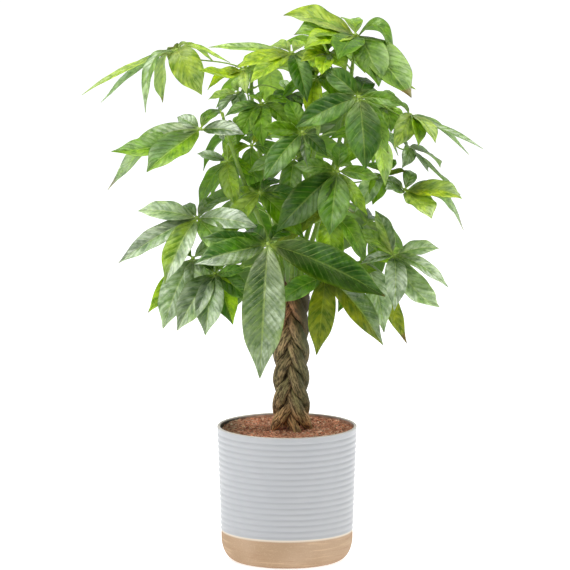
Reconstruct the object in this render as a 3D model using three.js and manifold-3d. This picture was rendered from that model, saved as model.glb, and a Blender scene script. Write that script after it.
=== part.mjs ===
// Potted money tree: a ribbed round pot, its soil, five braided trunks, a green stem on
// each trunk and a palmate leaf on each leaf stalk. Millimetres, +Z up, origin at the
// middle of the pot's flat underside; the front of the plant looks along -Y.
import * as THREE from 'three'
import { mergeVertices } from 'three/addons/utils/BufferGeometryUtils.js'
import Module from 'manifold-3d'

const wasm = await Module()
wasm.setup()
const { Manifold, Mesh: SolidMesh } = wasm
const V = (x, y, z) => new THREE.Vector3(x, y, z)

// Pot
const POT_HEIGHT = 223
const POT_RIM_RADIUS = 115
const POT_LOW_RADIUS = 109
const POT_FOOT_RADIUS = 89
const POT_CORNER = 20
const POT_WALL = 5
const POT_FLOOR = 9
const POT_FACETS = 24
const REST_EDGE = 4
const CORNER_STEPS = 4
const CORNER_START = 0.12
const CORNER_STEP = 0.22
const RIM_BEVEL = 1.5
const RIM_INNER_BEVEL = 1
const RIM_BAND = 3
const GLAZE_FROM = 51
const GLAZE_LIP = 0.7
const RIB_COUNT = 16
const RIB_DEPTH = 1.3
const RIBS_FROM = 56
const RIBS_TO = 212

// Soil
const SOIL_LEVEL = 215
const SOIL_MOUND = 1
const SOIL_FACETS = 24
const SOIL_HUMP = 1
const SOIL_HUMP_SHARE = 0.4
const SOIL_SLOPE_SHARE = 0.7
const CLEAR = 0.3

// Braid of five trunks
const TRUNKS = 5
const TRUNK_RADIUS = 10.2
const TRUNK_ROOT_RADIUS = 7
const TRUNK_GAP = 1.5
const TRUNK_REACH = 30
const SWELL_FROM = 3
const SWELL_TO = 20
const TRUNK_SIDES = 8
const TRUNK_STEPS = 31
const BRAID_HALF_WIDTH = 19.4
const BRAID_HALF_DEPTH = 15
const BRAID_PITCH = 213
const BRAID_CENTRE_X = 7
const BRAID_TURN = -15
const BRAID_FROM = 217
const BRAID_TO = 448
const BRAID_SHOWN_TO = 452
const TRUNK_TOP = 460
const TRUNK_ROOT = 146
const ROOT_SPREAD = 1.4
const ROOT_SPREAD_HEIGHT = 52
const ROOT_SPREAD_CURVE = 1.5
const HOLE_SIDES = 12

// Green stems and leaf stalks
const STEM_FOOT_RADIUS = 5
const STEM_TIP_RADIUS = 2.4
const STEM_SIDES = 6
const STEM_STEPS = 9
const STEM_PEG = 8
const STEM_UPRIGHT = 14
const STALK_RADIUS = 1.6
const STALK_FOOT_RADIUS = 2.2
const STALK_SIDES = 5
const STALK_STEPS = 4
const STALK_OFF = 0.35
const STALK_NECK = 3
const STALK_END = 0.3
const STALK_OUT = 0.3
const STALK_RISE = 0.2
const STALK_COME = 0.25

// Leaflets
const HUB_RADIUS = 5
const HUB_THICK = 1.2
const ROOT_THICK = 0.96
const RIB_THICK = 0.75
const RIB_TAPER = 0.45
const RIB_NEAR = 0.35
const RIB_FAR = 0.7
const WIDTH_RATIO = 0.38
const WIDEST_SHIFT = 0.95
const ROUNDNESS = 0.75
const DRIP_TIP_FROM = 0.7
const DRIP_TIP = 0.5
const ARCH_RATIO = 0.12
const FOLD = 0.22
const STATIONS = [0.24, 0.48, 0.7, 0.88]
const SHORT_STATIONS = [0.3, 0.6, 0.85]
const SHORT_LEAFLET = 126
const SPARE = 0.4
const EDGE_SPARE = 8
const CROSSING = 1e-4
const SHRINK_COST = 60

// Spread of the leaflets that are placed by rule
const TURN_SPREAD = 0.3
const DROOP_SPREAD = 16
const LOWER_LONGER = 0.2
const LENGTH_SPREAD = 0.1

const COLOURS = {
  glaze: [0.74, 0.75, 0.78, 0.45],
  soil: [0.42, 0.29, 0.2, 0.95],
  bark: [0.42, 0.33, 0.23, 0.85],
  stem: [0.36, 0.5, 0.13, 0.5],
  leaf: [0.16, 0.4, 0.11, 0.4],
}

function material(name) {
  const [r, g, b, roughness] = COLOURS[name]
  return new THREE.MeshStandardMaterial({
    color: new THREE.Color().setRGB(r, g, b, THREE.SRGBColorSpace), roughness, metalness: 0,
  })
}

const plant = new THREE.Group()

function add(name, geometry, colour) {
  const mesh = new THREE.Mesh(geometry, material(colour))
  mesh.name = name
  plant.add(mesh)
}

// Solids and geometry
function solidOf(geometry) {
  const bare = geometry.clone()
  bare.deleteAttribute('normal')
  bare.deleteAttribute('uv')
  const merged = mergeVertices(bare, 1e-4)
  return new Manifold(new SolidMesh({
    numProp: 3,
    vertProperties: new Float32Array(merged.attributes.position.array),
    triVerts: new Uint32Array(merged.index.array),
  }))
}

function geometryOf(solid) {
  const mesh = solid.getMesh()
  const geometry = new THREE.BufferGeometry()
  geometry.setAttribute('position', new THREE.BufferAttribute(new Float32Array(mesh.vertProperties), 3))
  geometry.setIndex(Array.from(mesh.triVerts))
  return geometry
}

function meshOf(points, triangles) {
  const geometry = new THREE.BufferGeometry()
  const numbers = points.flatMap((p) => [p.x, p.y, p.z])
  geometry.setAttribute('position', new THREE.Float32BufferAttribute(numbers, 3))
  geometry.setIndex(triangles.flat())
  return geometry
}

// A closed tube: one ring of points for each centre, with flat ends; the radius is a
// function of the ring's number and the direction from its centre
function tube(centres, radius, sides) {
  const points = []
  const triangles = []
  const last = centres.length - 1
  let across = V(0, 1, 0)
  centres.forEach((centre, i) => {
    const ahead = centres[Math.min(i + 1, last)].clone().sub(centres[Math.max(i - 1, 0)]).normalize()
    across = across.clone().addScaledVector(ahead, -across.dot(ahead)).normalize()
    const other = ahead.clone().cross(across)
    for (let k = 0; k < sides; k++) {
      const turn = (2 * Math.PI * k) / sides
      const way = across.clone().multiplyScalar(Math.cos(turn)).addScaledVector(other, Math.sin(turn))
      points.push(centre.clone().addScaledVector(way, radius(i, way)))
    }
  })
  for (let i = 0; i < last; i++) {
    for (let k = 0; k < sides; k++) {
      const a = i * sides + k
      const b = i * sides + ((k + 1) % sides)
      triangles.push([a, b, b + sides], [a, b + sides, a + sides])
    }
  }
  for (let k = 1; k < sides - 1; k++) {
    triangles.push([0, k + 1, k])
    triangles.push([last * sides, last * sides + k, last * sides + k + 1])
  }
  return meshOf(points, triangles)
}

// Pot: one turned wall with a ribbed, glazed side and a bare foot
function potOutline() {
  const at = (r, z) => new THREE.Vector2(r, z)
  const side = (z) => POT_LOW_RADIUS
    + (POT_RIM_RADIUS - POT_LOW_RADIUS) * ((z - GLAZE_FROM) / (POT_HEIGHT - GLAZE_FROM))
  const corner = POT_LOW_RADIUS - GLAZE_LIP - POT_CORNER
  const outline = [at(0, 0), at(POT_FOOT_RADIUS - REST_EDGE, 0)]
  for (let i = 0; i <= CORNER_STEPS; i++) {
    const turn = (Math.PI / 2) * (CORNER_START + CORNER_STEP * i)
    outline.push(at(corner + POT_CORNER * Math.sin(turn), POT_CORNER * (1 - Math.cos(turn))))
  }
  outline.push(at(POT_LOW_RADIUS - GLAZE_LIP, GLAZE_FROM - 1), at(POT_LOW_RADIUS, GLAZE_FROM))
  const pitch = (RIBS_TO - RIBS_FROM) / RIB_COUNT
  for (let i = 0; i < RIB_COUNT; i++) {
    const z = RIBS_FROM + pitch * i
    outline.push(at(side(z) - RIB_DEPTH, z), at(side(z + pitch / 2), z + pitch / 2))
  }
  outline.push(at(side(RIBS_TO) - RIB_DEPTH, RIBS_TO), at(side(RIBS_TO + RIM_BAND), RIBS_TO + RIM_BAND))
  outline.push(at(POT_RIM_RADIUS, POT_HEIGHT - RIM_BEVEL), at(POT_RIM_RADIUS - RIM_BEVEL, POT_HEIGHT))
  outline.push(at(POT_RIM_RADIUS - POT_WALL + RIM_INNER_BEVEL, POT_HEIGHT))
  outline.push(at(POT_RIM_RADIUS - POT_WALL, POT_HEIGHT - RIM_BEVEL))
  outline.push(at(POT_LOW_RADIUS - POT_WALL - 1, GLAZE_FROM))
  outline.push(at(POT_FOOT_RADIUS, POT_FLOOR), at(0, POT_FLOOR))
  return outline
}

add('pot', new THREE.LatheGeometry(potOutline(), POT_FACETS).rotateX(Math.PI / 2), 'glaze')

// Braid: each trunk swings from side to side once while it passes the front twice, so its
// front runs climb inwards and its back runs climb outwards. The flat of the braid is
// turned a little from the front
function trunkCentre(index, z) {
  const swing = THREE.MathUtils.clamp(z, BRAID_FROM, BRAID_TO) - BRAID_FROM
  const phase = 2 * Math.PI * (swing / BRAID_PITCH + index / TRUNKS)
  const low = Math.max(0, 1 - (z - BRAID_FROM) / ROOT_SPREAD_HEIGHT)
  const spread = 1 + (ROOT_SPREAD - 1) * Math.min(low, 1) ** ROOT_SPREAD_CURVE
  const x = BRAID_HALF_WIDTH * spread * Math.sin(phase)
  const centre = V(x, BRAID_HALF_DEPTH * spread * Math.sin(2 * phase), z)
  centre.applyAxisAngle(V(0, 0, 1), THREE.MathUtils.degToRad(BRAID_TURN))
  return centre.add(V(BRAID_CENTRE_X, 0, 0))
}

function trunkHeights() {
  const heights = [TRUNK_ROOT]
  for (let i = 0; i <= TRUNK_STEPS; i++) {
    heights.push(BRAID_FROM + ((BRAID_SHOWN_TO - BRAID_FROM) * i) / TRUNK_STEPS)
  }
  heights.push(TRUNK_TOP)
  return heights
}

// The five trunks have grown against each other: in each direction a trunk is as thick as
// its neighbours' middle lines leave room for, half of the way each, up to its full radius
function trunkRoom(index, centre, way) {
  const swell = THREE.MathUtils.smoothstep(centre.z, SOIL_LEVEL + SWELL_FROM, SOIL_LEVEL + SWELL_TO)
  let room = THREE.MathUtils.lerp(TRUNK_ROOT_RADIUS, TRUNK_RADIUS, swell)
  for (let other = 0; other < TRUNKS; other++) {
    for (let z = centre.z - TRUNK_REACH; other !== index && z <= centre.z + TRUNK_REACH; z += 1) {
      const apart = centre.clone().sub(trunkCentre(other, z))
      const closing = TRUNK_GAP - apart.dot(way)
      if (closing > 0) room = Math.min(room, (apart.lengthSq() - TRUNK_GAP ** 2) / (2 * closing))
    }
  }
  return room
}

function trunk(index) {
  const centres = trunkHeights().map((z) => trunkCentre(index, z))
  return tube(centres, (i, way) => trunkRoom(index, centres[i], way), TRUNK_SIDES)
}

// Soil: fills the pot, slightly mounded, with a plain round hole for each trunk
function soil() {
  const gap = CLEAR / Math.cos(Math.PI / POT_FACETS)
  const wall = (z) => POT_LOW_RADIUS - POT_WALL - 1
    + (POT_RIM_RADIUS - POT_LOW_RADIUS + 1) * ((z - GLAZE_FROM) / (POT_HEIGHT - RIM_BEVEL - GLAZE_FROM))
  const fit = Math.cos(Math.PI / POT_FACETS)
  const outline = [
    new THREE.Vector2(0, POT_FLOOR + CLEAR),
    new THREE.Vector2(POT_FOOT_RADIUS * fit - gap - 0.5, POT_FLOOR + CLEAR),
    new THREE.Vector2(wall(GLAZE_FROM) * fit - gap, GLAZE_FROM),
    new THREE.Vector2(wall(SOIL_LEVEL - SOIL_MOUND) * fit - gap, SOIL_LEVEL - SOIL_MOUND),
    new THREE.Vector2(wall(SOIL_LEVEL) * SOIL_SLOPE_SHARE, SOIL_LEVEL - SOIL_MOUND),
    new THREE.Vector2(wall(SOIL_LEVEL) * SOIL_HUMP_SHARE, SOIL_LEVEL + SOIL_HUMP),
    new THREE.Vector2(0, SOIL_LEVEL + SOIL_HUMP),
  ]
  let body = solidOf(new THREE.LatheGeometry(outline, SOIL_FACETS).rotateX(Math.PI / 2))
  for (let i = 0; i < TRUNKS; i++) {
    const foot = trunkCentre(i, TRUNK_ROOT)
    const bottom = foot.clone().setZ(TRUNK_ROOT - CLEAR)
    const top = foot.clone().setZ(SOIL_LEVEL + SWELL_TO)
    const radius = (TRUNK_ROOT_RADIUS + CLEAR) / Math.cos(Math.PI / HOLE_SIDES)
    body = body.subtract(solidOf(tube([bottom, top], () => radius, HOLE_SIDES)))
  }
  return geometryOf(body)
}

const trunks = []
for (let i = 0; i < TRUNKS; i++) {
  trunks.push(trunk(i))
  add(`trunk_${i + 1}`, trunks[i], 'bark')
}
add('soil', soil(), 'soil')

// Green stems: each rises from its own trunk's flat top through hand-placed points
const STEM_ROUTES = [
  [[40, 40, 556], [82, 62, 640], [102, 70, 710], [104, 72, 764]],
  [[50, -4, 560], [84, -8, 690], [104, -8, 800], [110, -6, 852]],
  [[14, -22, 560], [36, -56, 650], [50, -80, 720], [54, -84, 772]],
  [[-20, 34, 560], [-46, 32, 680], [-58, 20, 770], [-56, 8, 826]],
  [[-36, -30, 548], [-68, -48, 630], [-92, -52, 700], [-104, -48, 742]],
]

function stemCurve(route, index) {
  const foot = trunkCentre(index, TRUNK_TOP)
  foot.z += CLEAR
  const points = [foot, foot.clone().setZ(foot.z + STEM_UPRIGHT), ...route.map((p) => V(...p))]
  return new THREE.CatmullRomCurve3(points, false, 'centripetal')
}

const stemRadius = (s) => STEM_FOOT_RADIUS + (STEM_TIP_RADIUS - STEM_FOOT_RADIUS) * s

function stem(curve) {
  const centres = curve.getPoints(STEM_STEPS)
  centres.splice(1, 0, centres[0].clone().setZ(centres[0].z + STEM_PEG))
  return tube(centres, (i) => stemRadius(Math.max(0, i - 1) / STEM_STEPS), STEM_SIDES)
}

// The place and heading at a share of a stem's straight-sided length
function stemPlace(curve, share) {
  const step = Math.min(Math.floor(share * STEM_STEPS), STEM_STEPS - 1)
  const from = curve.getPoint(step / STEM_STEPS)
  const to = curve.getPoint((step + 1) / STEM_STEPS)
  return { place: from.clone().lerp(to, share * STEM_STEPS - step), ahead: to.sub(from).normalize() }
}

const stemCurves = STEM_ROUTES.map(stemCurve)
const stems = stemCurves.map(stem)
stems.forEach((geometry, i) => add(`stem_${i + 1}`, geometry, 'stem'))

// Leaves. A row holds the leaf's name, its stem, the share of the stem's length where its
// stalk leaves, the hub where its leaflets meet, the way its upper face looks, and each
// leaflet's tip as seen from the hub, with its width ratio, arch ratio and twist in
// degrees where they differ from the usual ones
const LEAVES = [
  ['leaf_front_low', 3, 0.3, [-31, -150, 550], [0, -0.85, 0.5],
    [[-13, -60, -211, 0.32, 0.08], [190, -15, -84, 0.3], [-107, -15, 12, 0.26], [-118, -50, -25, 0.36],
      [34, 72, 10], [-40, 78, 6]]],
  ['leaf_front_high', 3, 0.97, [116, -120, 786], [0.1, -0.85, 0.5],
    [[10, -50, -112, 0.48], [-103, -30, -46], [-57, 20, 43, 0.52], [13, 50, 24, 0.62], [77, 20, -17, 0.3],
      [48, -5, -92, 0.32]]],
  ['leaf_front_centre', 3, 0.84, [25, -130, 730], [0, -0.8, 0.6],
    [[-63, -40, -73, 0.4], [8, -30, -52, 0.28], [40, -20, -37, 0.42], [-66, -5, 5, 0.42],
      [-25, 50, 45, 0.42], [40, 45, 35, 0.42]]],
  ['leaf_top', 2, 0.97, [112, -20, 874], [0.15, -0.45, 0.9],
    [[-118, -20, 34, 0.46, 0.14], [-100, -60, 8, 0.5, 0.12], [-85, -90, -10, 0.4],
      [-30, -110, -26, 0.46], [30, -75, -95, 0.5], [84, -85, -105, 0.46, 0.02], [97, -42, -84, 0.24, -0.14],
      [64, 12, -55, 0.5, 0.6], [-16, 90, 11]]],
  ['leaf_top_front', 2, 0.91, [66, -60, 851], [0, -0.6, 0.8],
    [[43, -20, 10, 0.5], [30, -50, -23, 0.5], [-11, -60, -30, 0.46], [-44, -30, -12, 0.5],
      [-39, 0, 17, 0.5], [8, 40, 20]]],
  ['leaf_right_mid', 1, 0.62, [193, -30, 620], [0.3, -0.5, 0.8],
    [[92, -20, -12, 0.52, 0.18], [42, -62, -38, 0.62, 0.08], [97, 68, -78, 0.32, 0.2],
      [-49, 15, 13, 0.45], [10, 60, 22], [-34, -52, 8, 0.42]]],
  ['leaf_right_high', 2, 0.74, [202, 10, 738], [0.5, -0.2, 0.85],
    [[40, -40, -41, 0.6], [119, 0, -57, 0.22, 0.02], [98, 60, -76, 0.26, 0.04], [-28, -45, -50, 0.5],
      [12, -50, -45, 0.44], [-50, 40, 15]]],
  ['leaf_right_shoulder', 2, 0.66, [162, 48, 744], [0.3, -0.5, 0.8],
    [[-27, -20, -20, 0.5], [8, -40, -36, 0.5], [32, -5, -20, 0.5], [-26, 25, 12, 0.5], [6, 40, 23, 0.5]]],
  ['leaf_right_arm', 1, 0.84, [198, 30, 681], [0.6, 0.1, 0.8],
    [[87, 5, -80, 0.36, -0.02], [55, 70, -45], [33, -50, -33, 0.44, 0], [-45, 55, 5], [-10, -52, -27, 0.44]]],
  ['leaf_right_inner', 1, 0.54, [156, 20, 640], [0.2, -0.6, 0.8],
    [[40, -20, 0, 0.4], [-30, 30, 8, 0.5], [-44, -35, -59, 0.42], [-16, -35, -48, 0.5], [23, 30, 17, 0.46]]],
  ['leaf_left_top', 4, 0.93, [-181, 20, 843], [-0.4, -0.3, 0.87],
    [[42, -30, -70, 0.6], [-50, -40, -98, 0.26, 0.3], [-155, -5, -74, 0.13, 0.05],
      [-125, 50, -94, 0.24, 0.03], [-24, 76, -98, 0.34, 0.02], [24, 60, -72, 0.3], [62, 50, -27, 0.3],
      [88, 10, -22, 0.2, 0.06]]],
  ['leaf_left_shoulder', 4, 0.99, [8, -20, 844], [0, -0.5, 0.87],
    [[-136, 15, 7, 0.16, 0.04], [-89, -35, -20, 0.36, 0.08], [-68, -70, -40, 0.34, 0.08],
      [25, -60, -73, 0.38], [66, -40, -12, 0.4], [35, 70, -2], [-45, 65, -4]]],
  ['leaf_left_arm', 4, 0.76, [-71, -10, 814], [-0.3, -0.6, 0.75],
    [[-72, -45, 5, 0.36, 0], [-59, 20, -36, 0.34, 0.2], [5, -30, -35, 0.42], [62, -20, 12, 0.4],
      [30, 40, 25, 0.4]]],
  ['leaf_left_mid', 5, 0.94, [-141, -70, 726], [-0.2, -0.6, 0.77],
    [[-144, -34, -32, 0.34, -0.1], [-86, -72, -60, 0.48, 0.06], [-153, 86, -114, 0.24, 0.12],
      [72, -35, -4, 0.42], [-38, 30, 15, 0.5], [34, 50, 25]]],
  ['leaf_left_low', 5, 0.5, [-146, -90, 583], [-0.15, -0.7, 0.7],
    [[-97, 20, 8, 0.38], [-128, -15, -72, 0.26, 0.06], [-52, -60, -99, 0.36], [98, -30, -11, 0.4],
      [58, -65, -62, 0.4], [39, 50, 26], [-23, 50, 13]]],
  ['leaf_right_low', 1, 0.4, [174, -60, 517], [0.2, -0.6, 0.77],
    [[74, 15, 8, 0.42, 0.16], [89, -10, -52, 0.28], [74, -60, -76, 0.42, -0.22], [-30, 45, 66, 0.34],
      [-64, 30, 36, 0.4], [-54, -30, -10, 0.32], [0, -70, -80, 0.36]]],
  ['leaf_heart', 3, 0.66, [82, -110, 663], [0, -0.9, 0.4],
    [[-13, -45, -98, 0.48], [-100, -30, -95], [48, -30, -68, 0.26], [-72, 20, 6, 0.36], [6, 56, 40],
      [66, 10, -12, 0.36]]],
  ['leaf_low_centre', 2, 0.16, [62, -40, 478], [0.1, -0.75, 0.65],
    [[-14, -40, -124, 0.34], [95, -25, -110, 0.32], [-80, -35, -40], [85, 0, 10], [0, 60, 60]]],
  ['leaf_low_right', 1, 0.16, [123, 0, 500], [0.3, -0.7, 0.65],
    [[36, -35, -117, 0.36], [74, 0, -141, 0.22, 0], [-40, -50, -80], [80, 30, 0], [-20, 50, 60]]],
  ['leaf_low_left', 5, 0.22, [-154, -20, 505], [-0.1, -0.8, 0.6],
    [[-49, -40, -111, 0.4], [-74, 0, -91, 0.26, 0], [2, -50, -58, 0.4], [48, -40, -36],
      [60, 30, 30], [-50, 40, 40]]],
  ['leaf_low_inner', 5, 0.28, [-118, -75, 489], [0, -0.75, 0.65],
    [[-61, -35, -89, 0.44], [-15, -45, -95, 0.44], [30, -25, -81, 0.44], [57, -25, -41, 0.5],
      [49, -20, 8, 0.46], [25, 35, 24], [-25, 35, 19]]],
  ['leaf_left_inner', 5, 0.8, [-97, -30, 668], [-0.4, -0.6, 0.7],
    [[-32, -15, -86, 0.34], [16, -50, -70], [-50, 20, 8, 0.34], [20, 60, 40], [60, -20, -20]]],
  ['leaf_shoulder_low', 4, 0.8, [-41, -50, 765], [-0.2, -0.5, 0.85],
    [[-60, -10, -20, 0.42], [-40, -50, -60, 0.42], [2, -65, -62, 0.42], [50, -40, -35], [55, 20, -5],
      [-15, 65, 10]]],
  ['leaf_shoulder_small', 4, 0.68, [-80, 20, 773], [-0.5, -0.4, 0.8],
    [[-31, -35, -31, 0.46], [-49, 20, -15, 0.4], [13, -50, -33, 0.44], [39, -20, 5, 0.44], [-3, 40, 18]]],
  ['leaf_crown_left', 4, 0.84, [5, 45, 770], [0, -0.6, 0.8],
    [[33, -35, -19, 0.5], [11, -45, -36, 0.5], [-13, -40, -28, 0.5], [-30, -20, -5, 0.5],
      [-16, 25, 16, 0.5], [26, 25, 9, 0.5]]],
]

// Leaves of the inside and the back, whose leaflets are placed by rule: name, stem, share,
// hub, face, number of leaflets, longest leaflet and droop in degrees
const RULED_LEAVES = [
  ['leaf_back_top', 2, 0.86, [62, 62, 850], [0.1, 0.5, 0.9], 6, 105, 14],
  ['leaf_back_high', 4, 0.88, [-30, 122, 800], [-0.2, 0.6, 0.8], 6, 120, 16],
  ['leaf_back_left', 4, 0.62, [-84, 112, 704], [-0.6, 0.5, 0.6], 6, 100, 18],
  ['leaf_back_right', 1, 0.95, [120, 155, 740], [0.4, 0.7, 0.6], 6, 120, 18],
  ['leaf_back_middle', 1, 0.74, [20, 182, 668], [0, 0.8, 0.6], 6, 130, 18],
  ['leaf_back_low', 1, 0.5, [60, 185, 560], [0.1, 0.85, 0.5], 6, 140, 20],
  ['leaf_back_low_left', 4, 0.4, [-80, 150, 580], [-0.4, 0.8, 0.5], 6, 135, 20],
  ['leaf_back_low_right', 1, 0.3, [132, 100, 545], [0.6, 0.6, 0.5], 6, 125, 22],
  ['leaf_back_foot', 4, 0.22, [-20, 105, 500], [0, 0.8, 0.6], 5, 130, 26],
  ['leaf_side_left', 4, 0.56, [-72, 84, 650], [-0.5, 0.3, 0.8], 5, 95, 24],
  ['leaf_inner_left', 4, 0.5, [-58, -10, 690], [-0.3, -0.6, 0.7], 5, 100, 26],
  ['leaf_inner_middle', 3, 0.5, [12, -30, 672], [0, -0.6, 0.75], 6, 105, 26],
  ['leaf_inner_top', 2, 0.82, [48, -30, 806], [-0.1, -0.6, 0.8], 6, 90, 24],
  ['leaf_inner_low', 3, 0.4, [64, -64, 585], [0.2, -0.6, 0.75], 6, 125, 26],
  ['leaf_inner_right', 2, 0.58, [138, -36, 716], [0.4, -0.5, 0.75], 6, 100, 24],
  ['leaf_inner_foot', 5, 0.34, [-44, -76, 622], [-0.2, -0.6, 0.7], 6, 115, 26],
]

function seeded(seed) {
  let state = seed
  return () => {
    state = (state * 16807) % 2147483647
    return state / 2147483647
  }
}

const random = seeded(4)

function ruledTips(face, count, longest, droop) {
  const across = V(0, 0, 1).cross(face).normalize()
  const along = across.clone().cross(face).normalize()
  const start = random() * 360
  const tips = []
  for (let i = 0; i < count; i++) {
    const turn = THREE.MathUtils.degToRad(start + (360 * (i + TURN_SPREAD * random())) / count)
    const dip = THREE.MathUtils.degToRad(droop + DROOP_SPREAD * (random() - 0.5))
    const way = across.clone().multiplyScalar(Math.cos(turn)).addScaledVector(along, Math.sin(turn))
    const length = longest * (1 - LOWER_LONGER * (1 - way.dot(along))) * (1 - LENGTH_SPREAD * random())
    const tip = way.multiplyScalar(length * Math.cos(dip)).addScaledVector(face, -length * Math.sin(dip))
    tips.push(tip.toArray())
  }
  return tips
}

// One leaf as vectors, with its leaflets in turn order round the face
function leafPlan([name, stemNumber, share, hub, face, tips]) {
  const plan = { name, stem: stemNumber - 1, share, hub: V(...hub), face: V(...face).normalize() }
  const zero = plan.face.clone().cross(V(0, 0, 1)).normalize()
  const quarter = plan.face.clone().cross(zero)
  plan.leaflets = tips.map(([x, y, z, width = WIDTH_RATIO, arch = ARCH_RATIO, twist = 0]) => {
    const tip = V(x, y, z)
    const out = tip.clone().addScaledVector(plan.face, -tip.dot(plan.face)).normalize()
    const turn = Math.atan2(out.dot(quarter), out.dot(zero))
    return { tip, out, turn, width, arch, twist: THREE.MathUtils.degToRad(twist) }
  })
  plan.leaflets.sort((a, b) => a.turn - b.turn)
  plan.leaflets.forEach((leaflet, i) => {
    const next = plan.leaflets[(i + 1) % plan.leaflets.length]
    const span = (next.turn - leaflet.turn + 2 * Math.PI) % (2 * Math.PI)
    const middle = leaflet.turn + span / 2
    leaflet.corner = plan.hub.clone().addScaledVector(zero, HUB_RADIUS * Math.cos(middle))
      .addScaledVector(quarter, HUB_RADIUS * Math.sin(middle))
  })
  return plan
}

const plans = [
  ...LEAVES.map(leafPlan),
  ...RULED_LEAVES.map(([name, stemNumber, share, hub, face, count, longest, droop]) => {
    const tips = ruledTips(V(...face).normalize(), count, longest, droop)
    return leafPlan([name, stemNumber, share, hub, face, tips])
  }),
]

// Room already taken, so that what comes later is bent clear of it
const taken = []

function boxOf(geometry) {
  geometry.computeBoundingBox()
  return geometry.boundingBox
}

function take(geometry, owner) {
  taken.push({ solid: solidOf(geometry), box: boxOf(geometry).clone(), owner })
}

function isClear(geometry, owner, ofOwner) {
  const box = boxOf(geometry)
  const near = taken.filter((other) => (other.owner === owner) === ofOwner && other.box.intersectsBox(box))
  if (near.length === 0) return true
  const solid = solidOf(geometry)
  return near.every((other) => solid.intersect(other.solid).volume() < CROSSING)
}

// Steps by which a stalk or leaflet is bent until it is clear, the smallest first
function bendSteps(bends, yaws, scales) {
  const steps = []
  for (const scale of scales) {
    for (const bend of bends) {
      for (const yaw of yaws) {
        steps.push({ bend, yaw, scale, cost: Math.abs(bend) + Math.abs(yaw) + SHRINK_COST * (1 - scale) })
      }
    }
  }
  return steps.sort((a, b) => a.cost - b.cost)
}

const STALK_STEPS_TRIED = bendSteps([0, 0.4, -0.4, 0.8], [0, 25, -25, 50, -50, 80, -80], [1])
const LEAFLET_STEPS_TRIED = bendSteps([0, 7, -7, 14, -14, 21, -21], [0, 8, -8, 16, -16], [1, 0.82, 0.66])

// Leaf stalk: leaves the stem square, then rises and comes to the hub from below
function stalkCentres(plan, step) {
  const { place: root, ahead } = stemPlace(stemCurves[plan.stem], plan.share)
  const reach = plan.hub.clone().sub(root)
  const out = reach.clone().addScaledVector(ahead, -reach.dot(ahead)).normalize()
  const foot = root.clone().addScaledVector(out, stemRadius(plan.share) + STALK_OFF)
  const neck = foot.clone().addScaledVector(out, STALK_NECK)
  const length = reach.length()
  const rise = ahead.clone().applyAxisAngle(out, THREE.MathUtils.degToRad(step.yaw))
  const first = neck.clone().addScaledVector(out, STALK_OUT * length)
    .addScaledVector(rise, STALK_RISE * length * (1 + step.bend))
  const second = plan.hub.clone().addScaledVector(plan.face, -STALK_COME * length * (1 + step.bend / 2))
  const end = plan.hub.clone().addScaledVector(plan.face, -STALK_END)
  const bow = new THREE.CubicBezierCurve3(neck, first, second, end)
  return [foot, ...bow.getPoints(STALK_STEPS)]
}

function stalk(plan, step, spare) {
  const centres = stalkCentres(plan, step)
  return tube(centres, (i) => (i < 2 ? STALK_FOOT_RADIUS : STALK_RADIUS) + spare, STALK_SIDES)
}

// Leaflet: a rib curve in the upright plane of its own direction, with two thin halves
// folded up a little from it, widest at the middle and drawn out to a fine tip
function bladeWidth(s) {
  const full = Math.sin(Math.PI * s ** WIDEST_SHIFT) ** ROUNDNESS
  return full * (1 - DRIP_TIP * THREE.MathUtils.smoothstep(s, DRIP_TIP_FROM, 1))
}

function leafletStations(plan, leaflet, step, spare) {
  const { hub, face } = plan
  const side = face.clone().cross(leaflet.out)
  const tip = leaflet.tip.clone().multiplyScalar(step.scale)
    .applyAxisAngle(side, -THREE.MathUtils.degToRad(step.bend))
    .applyAxisAngle(face, THREE.MathUtils.degToRad(step.yaw))
  const length = tip.length()
  const lateral = side.clone().applyAxisAngle(face, THREE.MathUtils.degToRad(step.yaw))
  const arch = face.clone().multiplyScalar(leaflet.arch * length)
  const rib = new THREE.CubicBezierCurve3(
    hub.clone().addScaledVector(leaflet.out, HUB_RADIUS),
    hub.clone().addScaledVector(leaflet.out, RIB_NEAR * length).add(arch),
    hub.clone().addScaledVector(tip, RIB_FAR).add(arch),
    hub.clone().add(tip),
  )
  const shares = length > SHORT_LEAFLET ? STATIONS : SHORT_STATIONS
  const half = (leaflet.width * length) / 2
  return {
    tip: hub.clone().add(tip),
    rows: shares.map((s) => {
      const centre = rib.getPoint(s)
      const ahead = rib.getTangent(s)
      const across = lateral.clone().addScaledVector(ahead, -lateral.dot(ahead)).normalize()
      across.applyAxisAngle(ahead, leaflet.twist * s)
      const up = ahead.clone().cross(across)
      const width = half * bladeWidth(s) + EDGE_SPARE * spare
      const thick = RIB_THICK * (1 - RIB_TAPER * s) + spare
      const edge = (sign) => centre.clone()
        .addScaledVector(across, sign * width)
        .addScaledVector(up, FOLD * width)
      return {
        left: edge(1),
        right: edge(-1),
        top: centre.clone().addScaledVector(up, thick),
        bottom: centre.clone().addScaledVector(up, -thick),
      }
    }),
  }
}

// Faces of one leaflet from its root row of points out to the tip, split alike on both faces
function leafletFaces(rows, tip) {
  const faces = []
  for (let j = 0; j < rows.length - 1; j++) {
    const [a, b] = [rows[j], rows[j + 1]]
    faces.push([a.top, b.top, b.left], [a.top, b.left, a.left])
    faces.push([a.top, a.right, b.right], [a.top, b.right, b.top])
    faces.push([a.bottom, b.left, b.bottom], [a.bottom, a.left, b.left])
    faces.push([a.bottom, b.right, a.right], [a.bottom, b.bottom, b.right])
  }
  const last = rows[rows.length - 1]
  faces.push([last.top, tip, last.left], [last.top, last.right, tip])
  faces.push([last.bottom, last.left, tip], [last.bottom, tip, last.right])
  return faces
}

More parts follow.
